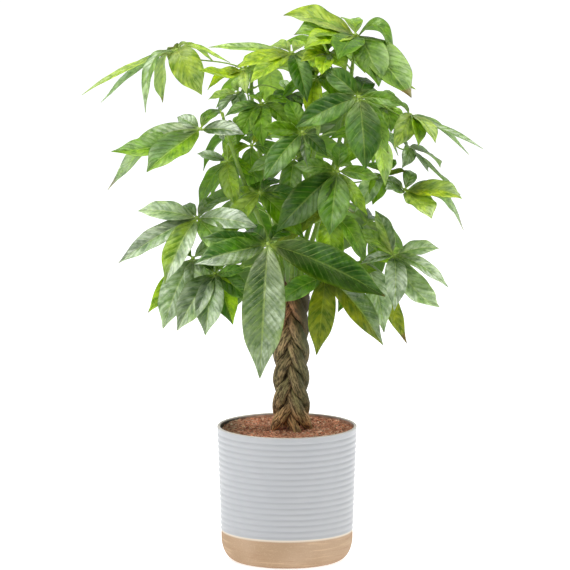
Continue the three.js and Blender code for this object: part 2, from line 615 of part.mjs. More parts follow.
function geometryOfFaces(faces) {
  const numbers = new Map()
  const points = []
  const triangles = faces.map((face) => face.map((point) => {
    if (!numbers.has(point)) {
      numbers.set(point, points.length)
      points.push(point)
    }
    return numbers.get(point)
  }))
  return meshOf(points, triangles)
}

function rootRow(plan, i) {
  const { hub, face, leaflets } = plan
  const leaflet = leaflets[i]
  const before = leaflets[(i + leaflets.length - 1) % leaflets.length]
  const ring = hub.clone().addScaledVector(leaflet.out, HUB_RADIUS)
  return {
    left: leaflet.corner,
    right: before.corner,
    top: ring.clone().addScaledVector(face, ROOT_THICK),
    bottom: ring.clone().addScaledVector(face, -ROOT_THICK),
  }
}

// A leaflet by itself, closed at its root, to test the room that it takes
function loneLeaflet(plan, i, step, spare) {
  const { rows, tip } = leafletStations(plan, plan.leaflets[i], step, spare)
  const root = rootRow(plan, i)
  const faces = leafletFaces([root, ...rows], tip)
  faces.push([root.top, root.left, root.bottom], [root.top, root.bottom, root.right])
  return geometryOfFaces(faces)
}

// The whole leaf: hub, leaflets and stalk in one solid
function leaf(plan) {
  const { hub, face, leaflets } = plan
  const top = hub.clone().addScaledVector(face, HUB_THICK)
  const bottom = hub.clone().addScaledVector(face, -HUB_THICK)
  const faces = []
  leaflets.forEach((leaflet, i) => {
    const root = rootRow(plan, i)
    faces.push([top, root.right, root.top], [top, root.top, root.left])
    faces.push([bottom, root.bottom, root.right], [bottom, root.left, root.bottom])
    if (leaflet.step) {
      const { rows, tip } = leafletStations(plan, leaflet, leaflet.step, 0)
      faces.push(...leafletFaces([root, ...rows], tip))
    } else {
      faces.push([root.top, root.bottom, root.left], [root.top, root.right, root.bottom])
    }
  })
  return geometryOf(solidOf(geometryOfFaces(faces)).add(solidOf(stalk(plan, plan.step, 0))))
}

trunks.forEach((geometry) => take(geometry, 'wood'))
stems.forEach((geometry) => take(geometry, 'stem'))
for (const plan of plans) {
  plan.step = STALK_STEPS_TRIED.find((step) => isClear(stalk(plan, step, SPARE / 2), plan.name, false))
    ?? STALK_STEPS_TRIED[0]
  take(stalk(plan, plan.step, 0), plan.name)
  take(new THREE.IcosahedronGeometry(HUB_RADIUS, 0).translate(...plan.hub.toArray()), plan.name)
}
for (const plan of plans) {
  plan.leaflets.forEach((leaflet, i) => {
    const clear = (step) => isClear(loneLeaflet(plan, i, step, SPARE), plan.name, false)
    leaflet.step = LEAFLET_STEPS_TRIED.find(clear)
    if (leaflet.step) take(loneLeaflet(plan, i, leaflet.step, 0), plan.name)
  })
}
for (const plan of plans) add(plan.name, leaf(plan), 'leaf')

export default plant
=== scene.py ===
# Potted money tree: the finish of the ribbed pot, its soil, the five braided trunks, the
# green stems and the palmate leaves. Shapes are worked out in millimetres, by the same
# values and rules as the solids that they replace, and turned to metres in Shape.piece.
import math

import bpy
import numpy as np
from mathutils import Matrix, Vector


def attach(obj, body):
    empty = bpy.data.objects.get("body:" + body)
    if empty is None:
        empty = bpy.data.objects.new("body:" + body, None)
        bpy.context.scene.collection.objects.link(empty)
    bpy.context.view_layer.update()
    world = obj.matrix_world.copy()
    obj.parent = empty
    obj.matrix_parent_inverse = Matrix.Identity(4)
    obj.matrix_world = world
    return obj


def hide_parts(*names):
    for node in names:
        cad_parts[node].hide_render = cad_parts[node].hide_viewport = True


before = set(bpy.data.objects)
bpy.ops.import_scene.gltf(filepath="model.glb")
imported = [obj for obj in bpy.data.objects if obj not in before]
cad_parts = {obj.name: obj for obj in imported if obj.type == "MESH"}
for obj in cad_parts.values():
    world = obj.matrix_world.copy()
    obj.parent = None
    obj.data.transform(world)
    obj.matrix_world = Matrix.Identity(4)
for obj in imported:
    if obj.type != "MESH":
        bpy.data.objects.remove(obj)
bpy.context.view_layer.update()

MM = 0.001
X_AXIS, Y_AXIS, Z_AXIS = np.eye(3)

# Pot; its lower edge is a quarter of an ellipse, softer than the solid's
POT_HEIGHT = 223
POT_RIM_RADIUS = 115
POT_LOW_RADIUS = 109
POT_FOOT_RADIUS = 89
POT_FLAT = 85
CORNER_WIDE = 23
CORNER_HIGH = 38
POT_WALL = 5
POT_FLOOR = 9
RIM_ROUND = 1.5
GLAZE_FROM = 51
GLAZE_LIP = 0.7
CLAY_TO = 50.6
EDGE_FROM = 49.2
RIB_COUNT = 16
RIB_DEPTH = 1.0
RIB_POINTS = 12
RIB_SHARPNESS = 1.6
RIBS_LEAD = 52
RIBS_FROM = 56
RIBS_TO = 212
RIBS_END = 215
STAIN_FROM = 3.6
STAIN_TO = 1.2
POT_SIDES = 144
AXIS_RADIUS = 0.05

# Soil
SOIL_LEVEL = 215
SOIL_RADIUS = 108.4
SOIL_BOTTOM = 190
SOIL_RINGS = 60
SOIL_SIDES = 160
SOIL_DOME = 1.5
SOIL_SUNK = 1.2
SOIL_RISE = 2.6
SOIL_WAVES = ((0.045, 0.9), (0.11, 0.7), (0.27, 0.5), (0.6, 0.35))
SOIL_PHASES = (0.0, 1.9, 4.1)
SOIL_SEED = 7
CHIPS = 2600
CHIP_SIZES = ((1.6, 4.6), (0.9, 2.2), (0.5, 1.1))

# Braid of five trunks
TRUNKS = 5
TRUNK_RADIUS = 10.6
TRUNK_ROOT_RADIUS = 7
TRUNK_GAP = 0.6
TRUNK_REACH = 30
BRAID_HALF_WIDTH = 19.4
BRAID_HALF_DEPTH = 15
BRAID_PITCH = 213
BRAID_CENTRE_X = 7
BRAID_TURN = -15
BRAID_FROM = 217
BRAID_TO = 448
TRUNK_TOP = 460
TRUNK_ROOT = 146
TRUNK_SEED = 20
ROOT_SPREAD = 1.4
ROOT_SPREAD_HEIGHT = 52
TRUNK_SIDES = 32
BARK_STEP = 1.3
BARK_LOBES = ((2, 0.35), (3, 0.25), (5, 0.16), (7, 0.12), (9, 0.1))
BARK_RINGS = 9

# Green stems and leaf stalks
STEM_FOOT_RADIUS = 5
STEM_TIP_RADIUS = 2.4
STEM_STEPS = 9
STEM_ROWS = 130
STEM_SIDES = 18
STALK_RADIUS = 1.6
STALK_SIDES = 10
STALK_ROWS = 26
CLEAR = 0.3
PLACING_SEED = 4

# Leaflets
HUB_RADIUS = 5
KNOB_RADIUS = 3.4
KNOB_HALF_HEIGHT = 2.4
KNOB_SIDES = 14
WIDTH_RATIO = 0.38
ARCH_RATIO = 0.12
FOLD = 0.22
ROW_LENGTH = 2.4
LEAST_ROWS = 16
BLADE_THICK = 0.3
VEIN_SPACING = 13
LEAST_VEINS = 6
QUILT = 0.8
WAVE = 0.055
FRILL = 0.03
MIDRIB_DEPTH = 1.5
MIDRIB_WIDTH = 1.6

# Places across a blade in the order of its loops: first the under face, then the upper one
UNDER_ACROSS = (-0.965, -0.5, -0.12, 0, 0.12, 0.5, 0.965)
TOP_ACROSS = (1, 0.965, 0.8, 0.62, 0.44, 0.26, 0.1, 0, -0.1, -0.26, -0.44, -0.62, -0.8, -0.965, -1)
LOOP_ACROSS = np.array([*UNDER_ACROSS, *TOP_ACROSS])
LOOP_UNDER = np.arange(len(LOOP_ACROSS)) < len(UNDER_ACROSS)

# Camera: the photograph's frame holds this many millimetres at the pot's axis
FRAME_SIDE = 934.8
VIEW_CENTRE = (-3.3, 0, 456.8)
VIEW_ELEVATION = 9.7
VIEW_DISTANCE = 12000
SENSOR = 36
CLIP_END = 100

# Lights, in metres from the middle of the crown: name, azimuth from the front, elevation,
# width and height, radiance and colour
CROWN = (0, 0, 560)
LIGHT_DISTANCE = 3
LIGHTS = [
    ("front_left", -31, 24, (0.7, 1.7), 5.1, (1, 1, 1)),
    ("left", -84, 20, (1.4, 1.8), 1.5, (0.97, 0.98, 1)),
    ("right", 78, 20, (1.3, 1.8), 4.6, (1, 0.99, 0.97)),
    ("top_left", -58, 64, (1.7, 1.5), 7.5, (1, 1, 1)),
    ("top_right", 95, 66, (1.5, 1.5), 5.8, (1, 1, 1)),
]
ROOM_WAY = (-0.15, 0.75, 0.64)
FLOOR_HALF = 40


def linear(red, green, blue):
    """A colour given as sRGB from 0 to 255, as linear numbers."""
    part = np.array([red, green, blue]) / 255
    return np.where(part <= 0.04045, part / 12.92, ((part + 0.055) / 1.055) ** 2.4)


def unit(vector):
    return vector / np.linalg.norm(vector, axis=-1, keepdims=True)


def ease(low, high, value):
    """0 at low, 1 at high and smooth between; the other way round if low is higher."""
    share = np.clip((value - low) / (high - low), 0, 1)
    return share * share * (3 - 2 * share)


def blended(first, second, share):
    return first * (1 - share) + second * share


def turned(vector, axis, angle):
    """The vector turned about a unit axis, by an angle in radians."""
    along = np.sum(axis * vector, axis=-1, keepdims=True) * axis
    angle = np.asarray(angle)[..., None]
    return along + (vector - along) * np.cos(angle) + np.cross(axis, vector) * np.sin(angle)


def bezier(points, shares):
    """Places and headings on a cubic Bezier curve."""
    a, b, c, d = (np.asarray(p, float) for p in points)
    s = np.asarray(shares, float)[:, None]
    place = (1 - s) ** 3 * a + 3 * (1 - s) ** 2 * s * b + 3 * (1 - s) * s * s * c + s ** 3 * d
    ahead = (1 - s) ** 2 * (b - a) + 2 * (1 - s) * s * (c - b) + s * s * (d - c)
    return place, unit(ahead)


def linked(name, data):
    """A new object in the scene."""
    made = bpy.data.objects.new(name, data)
    bpy.context.scene.collection.objects.link(made)
    return made


def round_turns(count):
    """The angles of evenly spaced places round a circle."""
    return 2 * math.pi * np.arange(count) / count


class Shape:
    """Points in millimetres, faces and a value or colour for each point, of one piece."""

    def __init__(self):
        self.points = []
        self.faces = []
        self.slots = []
        self.values = {}
        self.count = 0

    def add(self, points, faces, slot=0, **values):
        points = np.asarray(points, float)
        self.points.append(points.reshape(-1, 3))
        self.faces += [[index + self.count for index in face] for face in faces]
        self.slots += [slot] * len(faces)
        for name, value in values.items():
            value = np.asarray(value, float)
            colour = points.shape[-1:] if value.shape[-1:] == (3,) else ()
            value = np.broadcast_to(value, points.shape[:-1] + colour).reshape(-1, *colour)
            self.values.setdefault(name, []).append(value)
        self.count += len(self.points[-1])

    def rings(self, rings, slot=0, **values):
        """Closed loops of points, one after the other, with faces between and at both ends."""
        rows, around = rings.shape[:2]
        a = np.arange(rows * around).reshape(rows, around)
        b = np.roll(a, -1, axis=1)
        quads = np.stack([a[:-1], b[:-1], b[1:], a[1:]], axis=-1).reshape(-1, 4).tolist()
        ends = [a[0, ::-1].tolist(), a[-1].tolist()]
        self.add(rings, quads + ends, slot, **values)

    def piece(self, name, nodes, slot, materials):
        """The object that stands for these CAD nodes."""
        mesh = bpy.data.meshes.new(name)
        mesh.from_pydata((np.concatenate(self.points) * MM).tolist(), [], self.faces)
        for value_name, parts in self.values.items():
            value = np.concatenate(parts)
            kind, field = ("FLOAT", "value") if value.ndim == 1 else ("FLOAT_COLOR", "color")
            if value.ndim == 2:
                value = np.concatenate([value, np.ones((len(value), 1))], axis=1)
            layer = mesh.attributes.new(value_name, kind, "POINT")
            layer.data.foreach_set(field, value.astype(np.float32).ravel())
        for material in materials:
            mesh.materials.append(material)
        mesh.polygons.foreach_set("material_index", self.slots)
        mesh.polygons.foreach_set("use_smooth", [True] * len(self.slots))
        mesh.update()
        piece = linked(name, mesh)
        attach(piece, "root")
        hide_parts(*nodes)
        return piece


def tube(centres, radii, sides, start=Y_AXIS):
    """Rings of points round a line of centres, carried along it without turning."""
    centres = np.asarray(centres, float)
    ahead = unit(np.gradient(centres, axis=0))
    across, turns = start, round_turns(sides)
    radii = np.broadcast_to(np.asarray(radii, float).T, (sides, len(centres))).T
    rings = []
    for centre, way, radius in zip(centres, ahead, radii):
        across = unit(across - across @ way * way)
        other = np.cross(way, across)
        ring = np.cos(turns)[:, None] * across + np.sin(turns)[:, None] * other
        rings.append(centre + ring * radius[:, None])
    return np.array(rings)


class Look:
    """The nodes of a procedural material or of the world."""

    def __init__(self, name, kind="Material"):
        self.owner = getattr(bpy.data, kind.lower() + "s").new(name)
        self.owner.use_nodes = True
        self.tree = self.owner.node_tree
        self.tree.nodes.clear()
        self.output = "Output" + kind

    def node(self, kind, inputs=(), **settings):
        made = self.tree.nodes.new("ShaderNode" + kind)
        for name, value in settings.items():
            setattr(made, name, value)
        for name, value in dict(inputs).items():
            if isinstance(value, bpy.types.NodeSocket):
                self.tree.links.new(value, made.inputs[name])
            elif made.inputs[name].type == "RGBA":
                made.inputs[name].default_value = (*value, 1)
            else:
                made.inputs[name].default_value = value
        return made

    def value(self, name):
        return self.node("Attribute", attribute_name=name).outputs["Fac"]

    def colour(self, name):
        return self.node("Attribute", attribute_name=name).outputs["Color"]

    def times(self, a, b):
        return self.node("Math", {0: a, 1: b}, operation="MULTIPLY").outputs[0]

    def plus(self, a, b):
        return self.node("Math", {0: a, 1: b}, operation="ADD").outputs[0]

    def fitted(self, value, factor, offset):
        """A value times a factor, plus an offset."""
        return self.plus(self.times(value, factor), offset)

    def step(self, value, low, high):
        """What ease does, for a value of the nodes."""
        inputs = {"Value": value, "From Min": low, "From Max": high}
        return self.node("MapRange", inputs, interpolation_type="SMOOTHSTEP").outputs[0]

    def mix(self, share, a, b, blend="MIX"):
        made = self.node("Mix", {0: share, 6: a, 7: b}, data_type="RGBA", blend_type=blend)
        return made.outputs[2]

    def over(self, colour, share, strength, other):
        """A colour with another laid over it."""
        return self.mix(self.times(share, strength), colour, other)

    def scaled(self, colour, factors):
        """A colour times a factor each for red, green and blue."""
        return self.mix(1.0, colour, factors, "MULTIPLY")

    def shaded(self, share, colour, factors):
        return self.mix(share, colour, self.scaled(colour, factors))

    def place(self):
        return self.node("TexCoord").outputs["Object"]

    def noise(self, scale, detail=3.0, vector=None, roughness=0.55):
        inputs = {"Scale": scale, "Detail": detail, "Roughness": roughness}
        inputs["Vector"] = vector if vector is not None else self.place()
        return self.node("TexNoise", inputs).outputs["Fac"]

    def bump(self, height, distance, strength=1.0):
        inputs = {"Height": height, "Distance": distance, "Strength": strength}
        return self.node("Bump", inputs).outputs["Normal"]

    def principled(self, **inputs):
        """The main shader; an underscore in an input's name stands for a space."""
        inputs = {name.replace("_", " "): value for name, value in inputs.items()}
        return self.node("BsdfPrincipled", inputs).outputs[0]

    def surface(self, shader):
        self.node(self.output, {"Surface": shader})
        return self.owner


# Materials
def glaze_look():
    """Satin white glaze over the ribbed side, and bare sandy clay below its edge."""
    look = Look("glaze_and_clay")
    bare = look.value("bare")
    broad = look.noise(9, 2)
    fine = look.noise(420, 3)
    speck = look.noise(900, 1)
    white = look.mix(broad, linear(170, 172, 176), linear(180, 181, 183))
    # Painted shade: the rib grooves are tinted darker blue-grey
    white = look.over(white, look.value("hollow"), 0.1, linear(152, 157, 170))
    clay = look.mix(look.step(broad, 0.35, 0.7), linear(172, 144, 115), linear(184, 157, 130))
    flat = look.node("Mapping", {"Vector": look.place(), "Scale": (14, 14, 170)}).outputs[0]
    streak = look.noise(1, 3, flat)
    for value, low, high, strength, tone in (
            (streak, 0.55, 0.72, 0.5, (212, 182, 150)), (streak, 0.45, 0.3, 0.5, (160, 124, 96)),
            (speck, 0.66, 0.74, 0.35, (158, 118, 88)), (fine, 0.5, 0.75, 0.3, (208, 182, 154))):
        clay = look.over(clay, look.step(value, low, high), strength, linear(*tone))
    colour = look.mix(bare, white, clay)
    colour = look.mix(look.value("cream"), colour, linear(220, 210, 194))
    blot = look.step(look.noise(60, 4), 0.35, 0.6)
    stain = look.mix(blot, linear(178, 136, 112), linear(222, 184, 160))
    # Painted shadow: the inner wall is dark grey-green at the left
    stain = look.mix(look.value("damp"), stain, linear(66, 66, 54))
    colour = look.mix(look.value("stained"), colour, stain)
    grain = look.plus(look.times(fine, bare), look.times(broad, 0.4))
    return look.surface(look.principled(
        Base_Color=colour, Roughness=look.fitted(bare, 0.42, 0.36), Specular_IOR_Level=0.25,
        Normal=look.bump(grain, 0.0006, 0.5)))


def soil_look():
    """Reddish-brown potting mix: each chip has its own colour, with fine crumbs over it."""
    look = Look("potting_mix")
    crumbs = look.noise(700, 4, roughness=0.7)
    colour = look.mix(look.step(crumbs, 0.3, 0.6), linear(160, 112, 90), look.colour("tint"))
    return look.surface(look.principled(
        Base_Color=colour, Roughness=0.93, Specular_IOR_Level=0.25,
        Normal=look.bump(crumbs, 0.0012, 0.8)))


def bark_look():
    """Grey-brown bark with moss and an olive cast, paler on its ridges; the olive on the right
    side and the dark of the creases are painted shade.
    """
    look = Look("braided_bark")
    grain = look.colour("grain")
    streaks = look.noise(3.2, 5, grain, 0.65)
    blotches = look.step(look.noise(0.9, 3, grain), 0.42, 0.62)
    pale = look.mix(blotches, linear(184, 156, 112), linear(158, 146, 98))
    colour = look.mix(look.step(streaks, 0.4, 0.62), linear(70, 55, 34), pale)
    # Moss higher up, and painted shade in olive on the right side of the braid
    colour = look.mix(look.value("moss"), colour, linear(64, 68, 38))
    colour = look.shaded(look.value("ruddy"), colour, (0.95, 0.6, 0.55))
    colour = look.shaded(look.value("pale"), colour, (1.75, 1.45, 1.3))
    pores = look.step(look.noise(14, 2, grain), 0.68, 0.76)
    colour = look.over(colour, pores, 0.5, linear(170, 150, 120))
    # Painted shade: near black where the trunks press together and low down by the soil
    colour = look.mix(look.value("crease"), colour, linear(26, 17, 10))
    return look.surface(look.principled(
        Base_Color=colour, Roughness=0.78, Specular_IOR_Level=0.35,
        Normal=look.bump(streaks, 0.002)))


def stem_look():
    """Smooth green bark of young stems and stalks, in the colour that each point carries."""
    look = Look("green_stem")
    streaks = look.noise(260, 3)
    tint = look.colour("tint")
    colour = look.mix(look.step(streaks, 0.4, 0.7), tint, look.scaled(tint, (0.62, 0.68, 0.6)))
    return look.surface(look.principled(
        Base_Color=colour, Roughness=0.42, Normal=look.bump(streaks, 0.0004, 0.5)))


def leaf_look():
    """Leaf: pale midrib and side veins, mottled green, a grey-green painted sheen (a painted
    highlight), duller and paler below.
    """
    look = Look("leaf_blade")
    across, under, vein = look.value("across"), look.value("under"), look.value("vein")
    tint, cloud = look.colour("tint"), look.noise(55, 3)
    band_place = {"X": look.times(vein, 1.3), "Y": look.times(across, 1.6)}
    band_place["Z"] = look.value("seed")
    bands = look.noise(1.0, 3, look.node("CombineXYZ", band_place).outputs[0], 0.6)
    for value, low, high, factors in (
            (cloud, 0.46, 0.68, (1.42, 1.32, 1.1)), (cloud, 0.46, 0.28, (0.52, 0.67, 0.42)),
            (bands, 0.5, 0.66, (1.3, 1.25, 1.1)), (bands, 0.5, 0.36, (0.48, 0.65, 0.42))):
        tint = look.shaded(look.step(value, low, high), tint, factors)
    grain = look.noise(900, 2)
    tint = look.shaded(look.times(grain, 0.3), tint, (0.7, 0.76, 0.7))

    # The painted sheen, a pale highlight painted into the colour, lies between the side veins, in
    # patches
    apart = look.node("Math", {0: vein, 1: 0.5}, operation="PINGPONG").outputs[0]
    between = look.fitted(look.step(apart, 0.0, 0.26), 0.5, 0.5)
    mottle = look.fitted(look.times(look.step(bands, 0.34, 0.58), between), 0.65, 0.35)
    patches = look.fitted(look.step(look.noise(40, 2), 0.4, 0.58), 0.6, 0.4)
    bloom = look.times(look.value("bloom"), look.times(mottle, patches))
    tint = look.mix(bloom, tint, linear(218, 226, 212))

    # The veins are plainer on dull leaflets
    line = look.times(look.step(apart, 0.12, 0.0), look.step(across, 1.0, 0.6))
    rib = look.step(across, 0.075, 0.02)
    clear = look.fitted(look.step(look.value("gloss"), 0.3, 0.75), 0.5, 0.5)
    pale = look.mix(0.55, look.scaled(tint, (1.9, 1.75, 1.6)), linear(176, 196, 92))
    colour = look.over(tint, look.times(line, 0.24), clear, pale)
    colour = look.over(colour, look.times(rib, 0.52), clear, pale)
    below = look.mix(0.35, look.scaled(colour, (1.25, 1.2, 1.2)), linear(150, 178, 116))
    colour = look.mix(under, colour, below)

    rough = look.plus(look.times(under, 0.22), look.fitted(cloud, 0.18, 0.17))
    height = look.plus(look.times(line, -0.5), look.times(rib, -0.8))
    normal = look.bump(look.plus(height, look.times(grain, 0.25)), 0.001, 0.8)
    sheen = look.mix(look.value("bloom"), (0.8, 1.0, 0.3), (0.96, 1.0, 0.92))
    front = look.principled(Base_Color=colour, Roughness=rough, Normal=normal,
                            Specular_IOR_Level=look.value("gloss"), Specular_Tint=sheen)
    glow = look.scaled(look.mix(0.12, colour, linear(150, 190, 20)), (2.05, 2.0, 0.9))
    through = look.node("BsdfTranslucent", {"Color": glow, "Normal": normal}).outputs[0]
    return look.surface(look.node("MixShader", {0: 0.3, 1: front, 2: through}).outputs[0])


def floor_look():
    """A plain white sweep, lit up a little from within so that it stays white far off."""
    look = Look("white_floor")
    return look.surface(look.principled(
        Base_Color=linear(228, 228, 228), Roughness=0.95, Specular_IOR_Level=0.0,
        Emission_Color=(1, 1, 1), Emission_Strength=0.66))


# Pot
def pot_foot():
    """Radius and height of the outline, from the underside's middle to the glaze's edge."""
    wall = POT_LOW_RADIUS - GLAZE_LIP
    points = [(radius, 0) for radius in (0, 40, 80, POT_FLAT)]
    for turn in np.radians(np.arange(6, 91, 6)):
        inset, rise = CORNER_WIDE * (1 - math.sin(turn)), CORNER_HIGH * (1 - math.cos(turn))
        points.append((wall - inset, rise))
    points += [(wall, z) for z in (41, 44, 47, 49.4)]
    return points + [(wall + 0.1, 49.9), (wall + 0.45, 50.3), (POT_LOW_RADIUS, GLAZE_FROM)]


def pot_ribs():
    """The outline over the ribs and the plain band, and how deep in a groove each point is, for
    the painted shade of the grooves.
    """
    lead = np.linspace(RIBS_LEAD, RIBS_FROM, 4)[:-1]
    ribs = np.linspace(RIBS_FROM, RIBS_TO, RIB_COUNT * RIB_POINTS + 1)
    end = np.array([212.6, 213.4, 214.2, RIBS_END])
    band = np.array([217, 219, 220.6])
    waves = 0.5 + 0.5 * np.cos(2 * math.pi * np.arange(len(ribs)) / RIB_POINTS)
    depths = [ease(RIBS_LEAD, RIBS_FROM, lead), waves ** RIB_SHARPNESS,
              ease(RIBS_END, RIBS_TO, end), 0 * band]
    z, depth = np.concatenate([lead, ribs, end, band]), np.concatenate(depths)
    slope = (POT_RIM_RADIUS - POT_LOW_RADIUS) / (POT_HEIGHT - GLAZE_FROM)
    radius = POT_LOW_RADIUS + slope * (z - GLAZE_FROM) - RIB_DEPTH * depth
    return np.stack([radius, z], axis=1), depth * ((z >= RIBS_FROM) & (z <= RIBS_TO))


def pot_inside():
    """The outline over the rim's round and down the inner wall to the floor's middle."""
    middle, half = POT_RIM_RADIUS - POT_WALL / 2, POT_WALL / 2
    shoulder = POT_HEIGHT - RIM_ROUND
    points = [(middle + half * math.cos(turn), shoulder + RIM_ROUND * math.sin(turn))
              for turn in np.radians(np.arange(0, 181, 15))]
    low, top = POT_LOW_RADIUS - POT_WALL - 1, POT_RIM_RADIUS - POT_WALL
    for z in (220, *np.linspace(218, GLAZE_FROM, 12)):
        points.append((low + (top - low) * (z - GLAZE_FROM) / (shoulder - GLAZE_FROM), z))
    points += [(low - 3, 30), (POT_FOOT_RADIUS + 4, 14), (POT_FOOT_RADIUS - 3, POT_FLOOR)]
    return points + [(40, POT_FLOOR), (0, POT_FLOOR)]


def pot():
    """One turned wall: rounded clay foot, glaze edge, soft ribs, plain band and rim."""
    foot, inside = pot_foot(), pot_inside()
    ribs, depth = pot_ribs()
    outline = np.concatenate([foot, ribs, inside])
    outline[[0, -1], 0] = AXIS_RADIUS
    height, number = outline[:, 1:], np.arange(len(outline))[:, None]
    on_foot, past_rim = number < len(foot), number > np.argmax(height)
    stain = ease(POT_HEIGHT - STAIN_TO, POT_HEIGHT - STAIN_FROM, height)
    cream = 0.8 * (on_foot & (height > EDGE_FROM)) + 0.7 * (height > POT_HEIGHT - 0.8)
    hollow = np.concatenate([np.zeros(len(foot)), depth, np.zeros(len(inside))])[:, None]
    turns = round_turns(POT_SIDES)
    ways = np.stack([np.cos(turns), np.sin(turns), 0 * turns], axis=1)
    rings = outline[:, None, :1] * ways + outline[:, None, 1:] * Z_AXIS
    shape = Shape()
    # The left side of the inner wall is painted in shadow
    shape.rings(rings, damp=ease(-40, -90, rings[..., 0]), bare=on_foot & (height < CLAY_TO),
                cream=cream, hollow=hollow, stained=past_rim * stain)
    return shape.piece("pot_glazed", ["pot"], "pot", [glaze_look()])


# Soil
def soil_level(x, y):
    """The height of the mix: a low dome that rises again at the wall, and crumbs."""
    reach = np.hypot(x, y)
    dome = SOIL_DOME * np.cos(reach / SOIL_RADIUS * math.pi / 2)
    height = SOIL_LEVEL + dome - SOIL_SUNK + SOIL_RISE * ease(82, 106, reach)
    for scale, size in SOIL_WAVES:
        for phase in SOIL_PHASES:
            run = x * math.cos(phase) + y * math.sin(phase)
            height = height + size / 2 * np.sin(run * scale + 7 * phase + 90 * scale)
    return height


def dryness(x):
    """Colour factors of painted shadow: the mix is darker and greenish at the left wall."""
    return 1 - np.array([0.62, 0.5, 0.52]) * ease(-58, -98, x)


CHIP_TONES = [linear(*tone) for tone in (
    (222, 160, 128), (238, 166, 132), (202, 142, 112), (240, 202, 170), (156, 106, 82))]


def chip(draw):
    """The corners of a flat sliver of bark that lies on the mix."""
    corners = np.array([[a, b, c] for a in (-1, 1) for b in (-1, 1) for c in (-1, 1)], float)
    reach = SOIL_RADIUS * 0.98 * math.sqrt(draw.random())
    turn = draw.random() * 2 * math.pi
    size = np.array([draw.uniform(*span) for span in CHIP_SIZES])
    box = corners * size * draw.uniform(0.65, 1.1, corners.shape)
    spin, tip, roll = draw.uniform(0, 2 * math.pi), draw.normal(0, 0.3), draw.normal(0, 0.3)
    for axis, angle in ((Y_AXIS, tip), (X_AXIS, roll), (Z_AXIS, spin)):
        box = turned(box, axis, angle)
    place = np.array([reach * math.cos(turn), reach * math.sin(turn), 0])
    place[2] = soil_level(place[0], place[1]) + draw.uniform(-0.2, 0.8)
    beyond = np.hypot(*(box + place)[:, :2].T).max() - SOIL_RADIUS
    if beyond > 0:
        place[:2] *= 1 - beyond / reach
    return box + place, place[0]


def soil():
    """A crumbled top that rises a little to the wall, strewn with bark chips."""
    draw = np.random.default_rng(SOIL_SEED)
    shape = Shape()
    radii = SOIL_RADIUS * np.linspace(0.001, 1, SOIL_RINGS)
    turns = round_turns(SOIL_SIDES)
    x, y = np.outer(radii, np.cos(turns)), np.outer(radii, np.sin(turns))
    top = np.stack([x, y, soil_level(x, y)], axis=-1)
    wall = top[-1] * [1, 1, 0] + [0, 0, SOIL_BOTTOM]
    bottom = wall * [0.001, 0.001, 1]
    rings = np.concatenate([bottom[None], wall[None], top[::-1]])
    # Painted shadow by the left wall, on the mix and on its chips
    shape.rings(rings, tint=linear(200, 143, 116) * dryness(rings[..., :1]))
    sides = [[0, 1, 3, 2], [4, 6, 7, 5], [0, 4, 5, 1], [2, 3, 7, 6], [0, 2, 6, 4], [1, 5, 7, 3]]
    for _ in range(CHIPS):
        box, chip_x = chip(draw)
        tone = CHIP_TONES[draw.integers(len(CHIP_TONES))] * draw.uniform(0.75, 1.3)
        shape.add(box, sides, tint=tone * dryness(chip_x))
    piece = shape.piece("soil_mix", ["soil"], "soil", [soil_look()])
    ground = SOIL_SIDES * (SOIL_RINGS + 1)
    smooth = [i < ground and len(p.vertices) == 4 for i, p in enumerate(piece.data.polygons)]
    piece.data.polygons.foreach_set("use_smooth", smooth)
    return piece


# Braid
def trunk_centre(index, z):
    """The middle of a trunk at height z; it runs round a figure of eight as it climbs."""
    z = np.asarray(z, float)
    swing = np.clip(z, BRAID_FROM, BRAID_TO) - BRAID_FROM
    phase = 2 * math.pi * (swing / BRAID_PITCH + index / TRUNKS)
    low = np.clip(1 - (z - BRAID_FROM) / ROOT_SPREAD_HEIGHT, 0, 1)
    spread = 1 + (ROOT_SPREAD - 1) * low ** 1.5
    x = BRAID_HALF_WIDTH * spread * np.sin(phase)
    y = BRAID_HALF_DEPTH * spread * np.sin(2 * phase)
    place = turned(np.stack([x, y, z], axis=-1), Z_AXIS, math.radians(BRAID_TURN))
    return place + [BRAID_CENTRE_X, 0, 0]


def trunk_room(index, centres, ways):
    """How thick a trunk is in each direction: half of the way to its neighbours at most."""
    swell = ease(SOIL_LEVEL + 3, SOIL_LEVEL + 20, centres[:, None, 2])
    full = TRUNK_ROOT_RADIUS + (TRUNK_RADIUS - TRUNK_ROOT_RADIUS) * swell
    room = np.repeat(full, ways.shape[1], axis=1)
    for other in range(TRUNKS):
        if other == index:
            continue
        for lift in np.arange(-TRUNK_REACH, TRUNK_REACH + 0.5, 1.5):
            apart = centres - trunk_centre(other, centres[:, 2] + lift)
            closing = TRUNK_GAP - np.einsum("ij,ikj->ik", apart, ways)
            far = np.sum(apart * apart, axis=1)[:, None] - TRUNK_GAP ** 2
            reach = far / (2 * np.maximum(closing, 1e-6))
            room = np.where(closing > 0, np.minimum(room, reach), room)
    return room, full


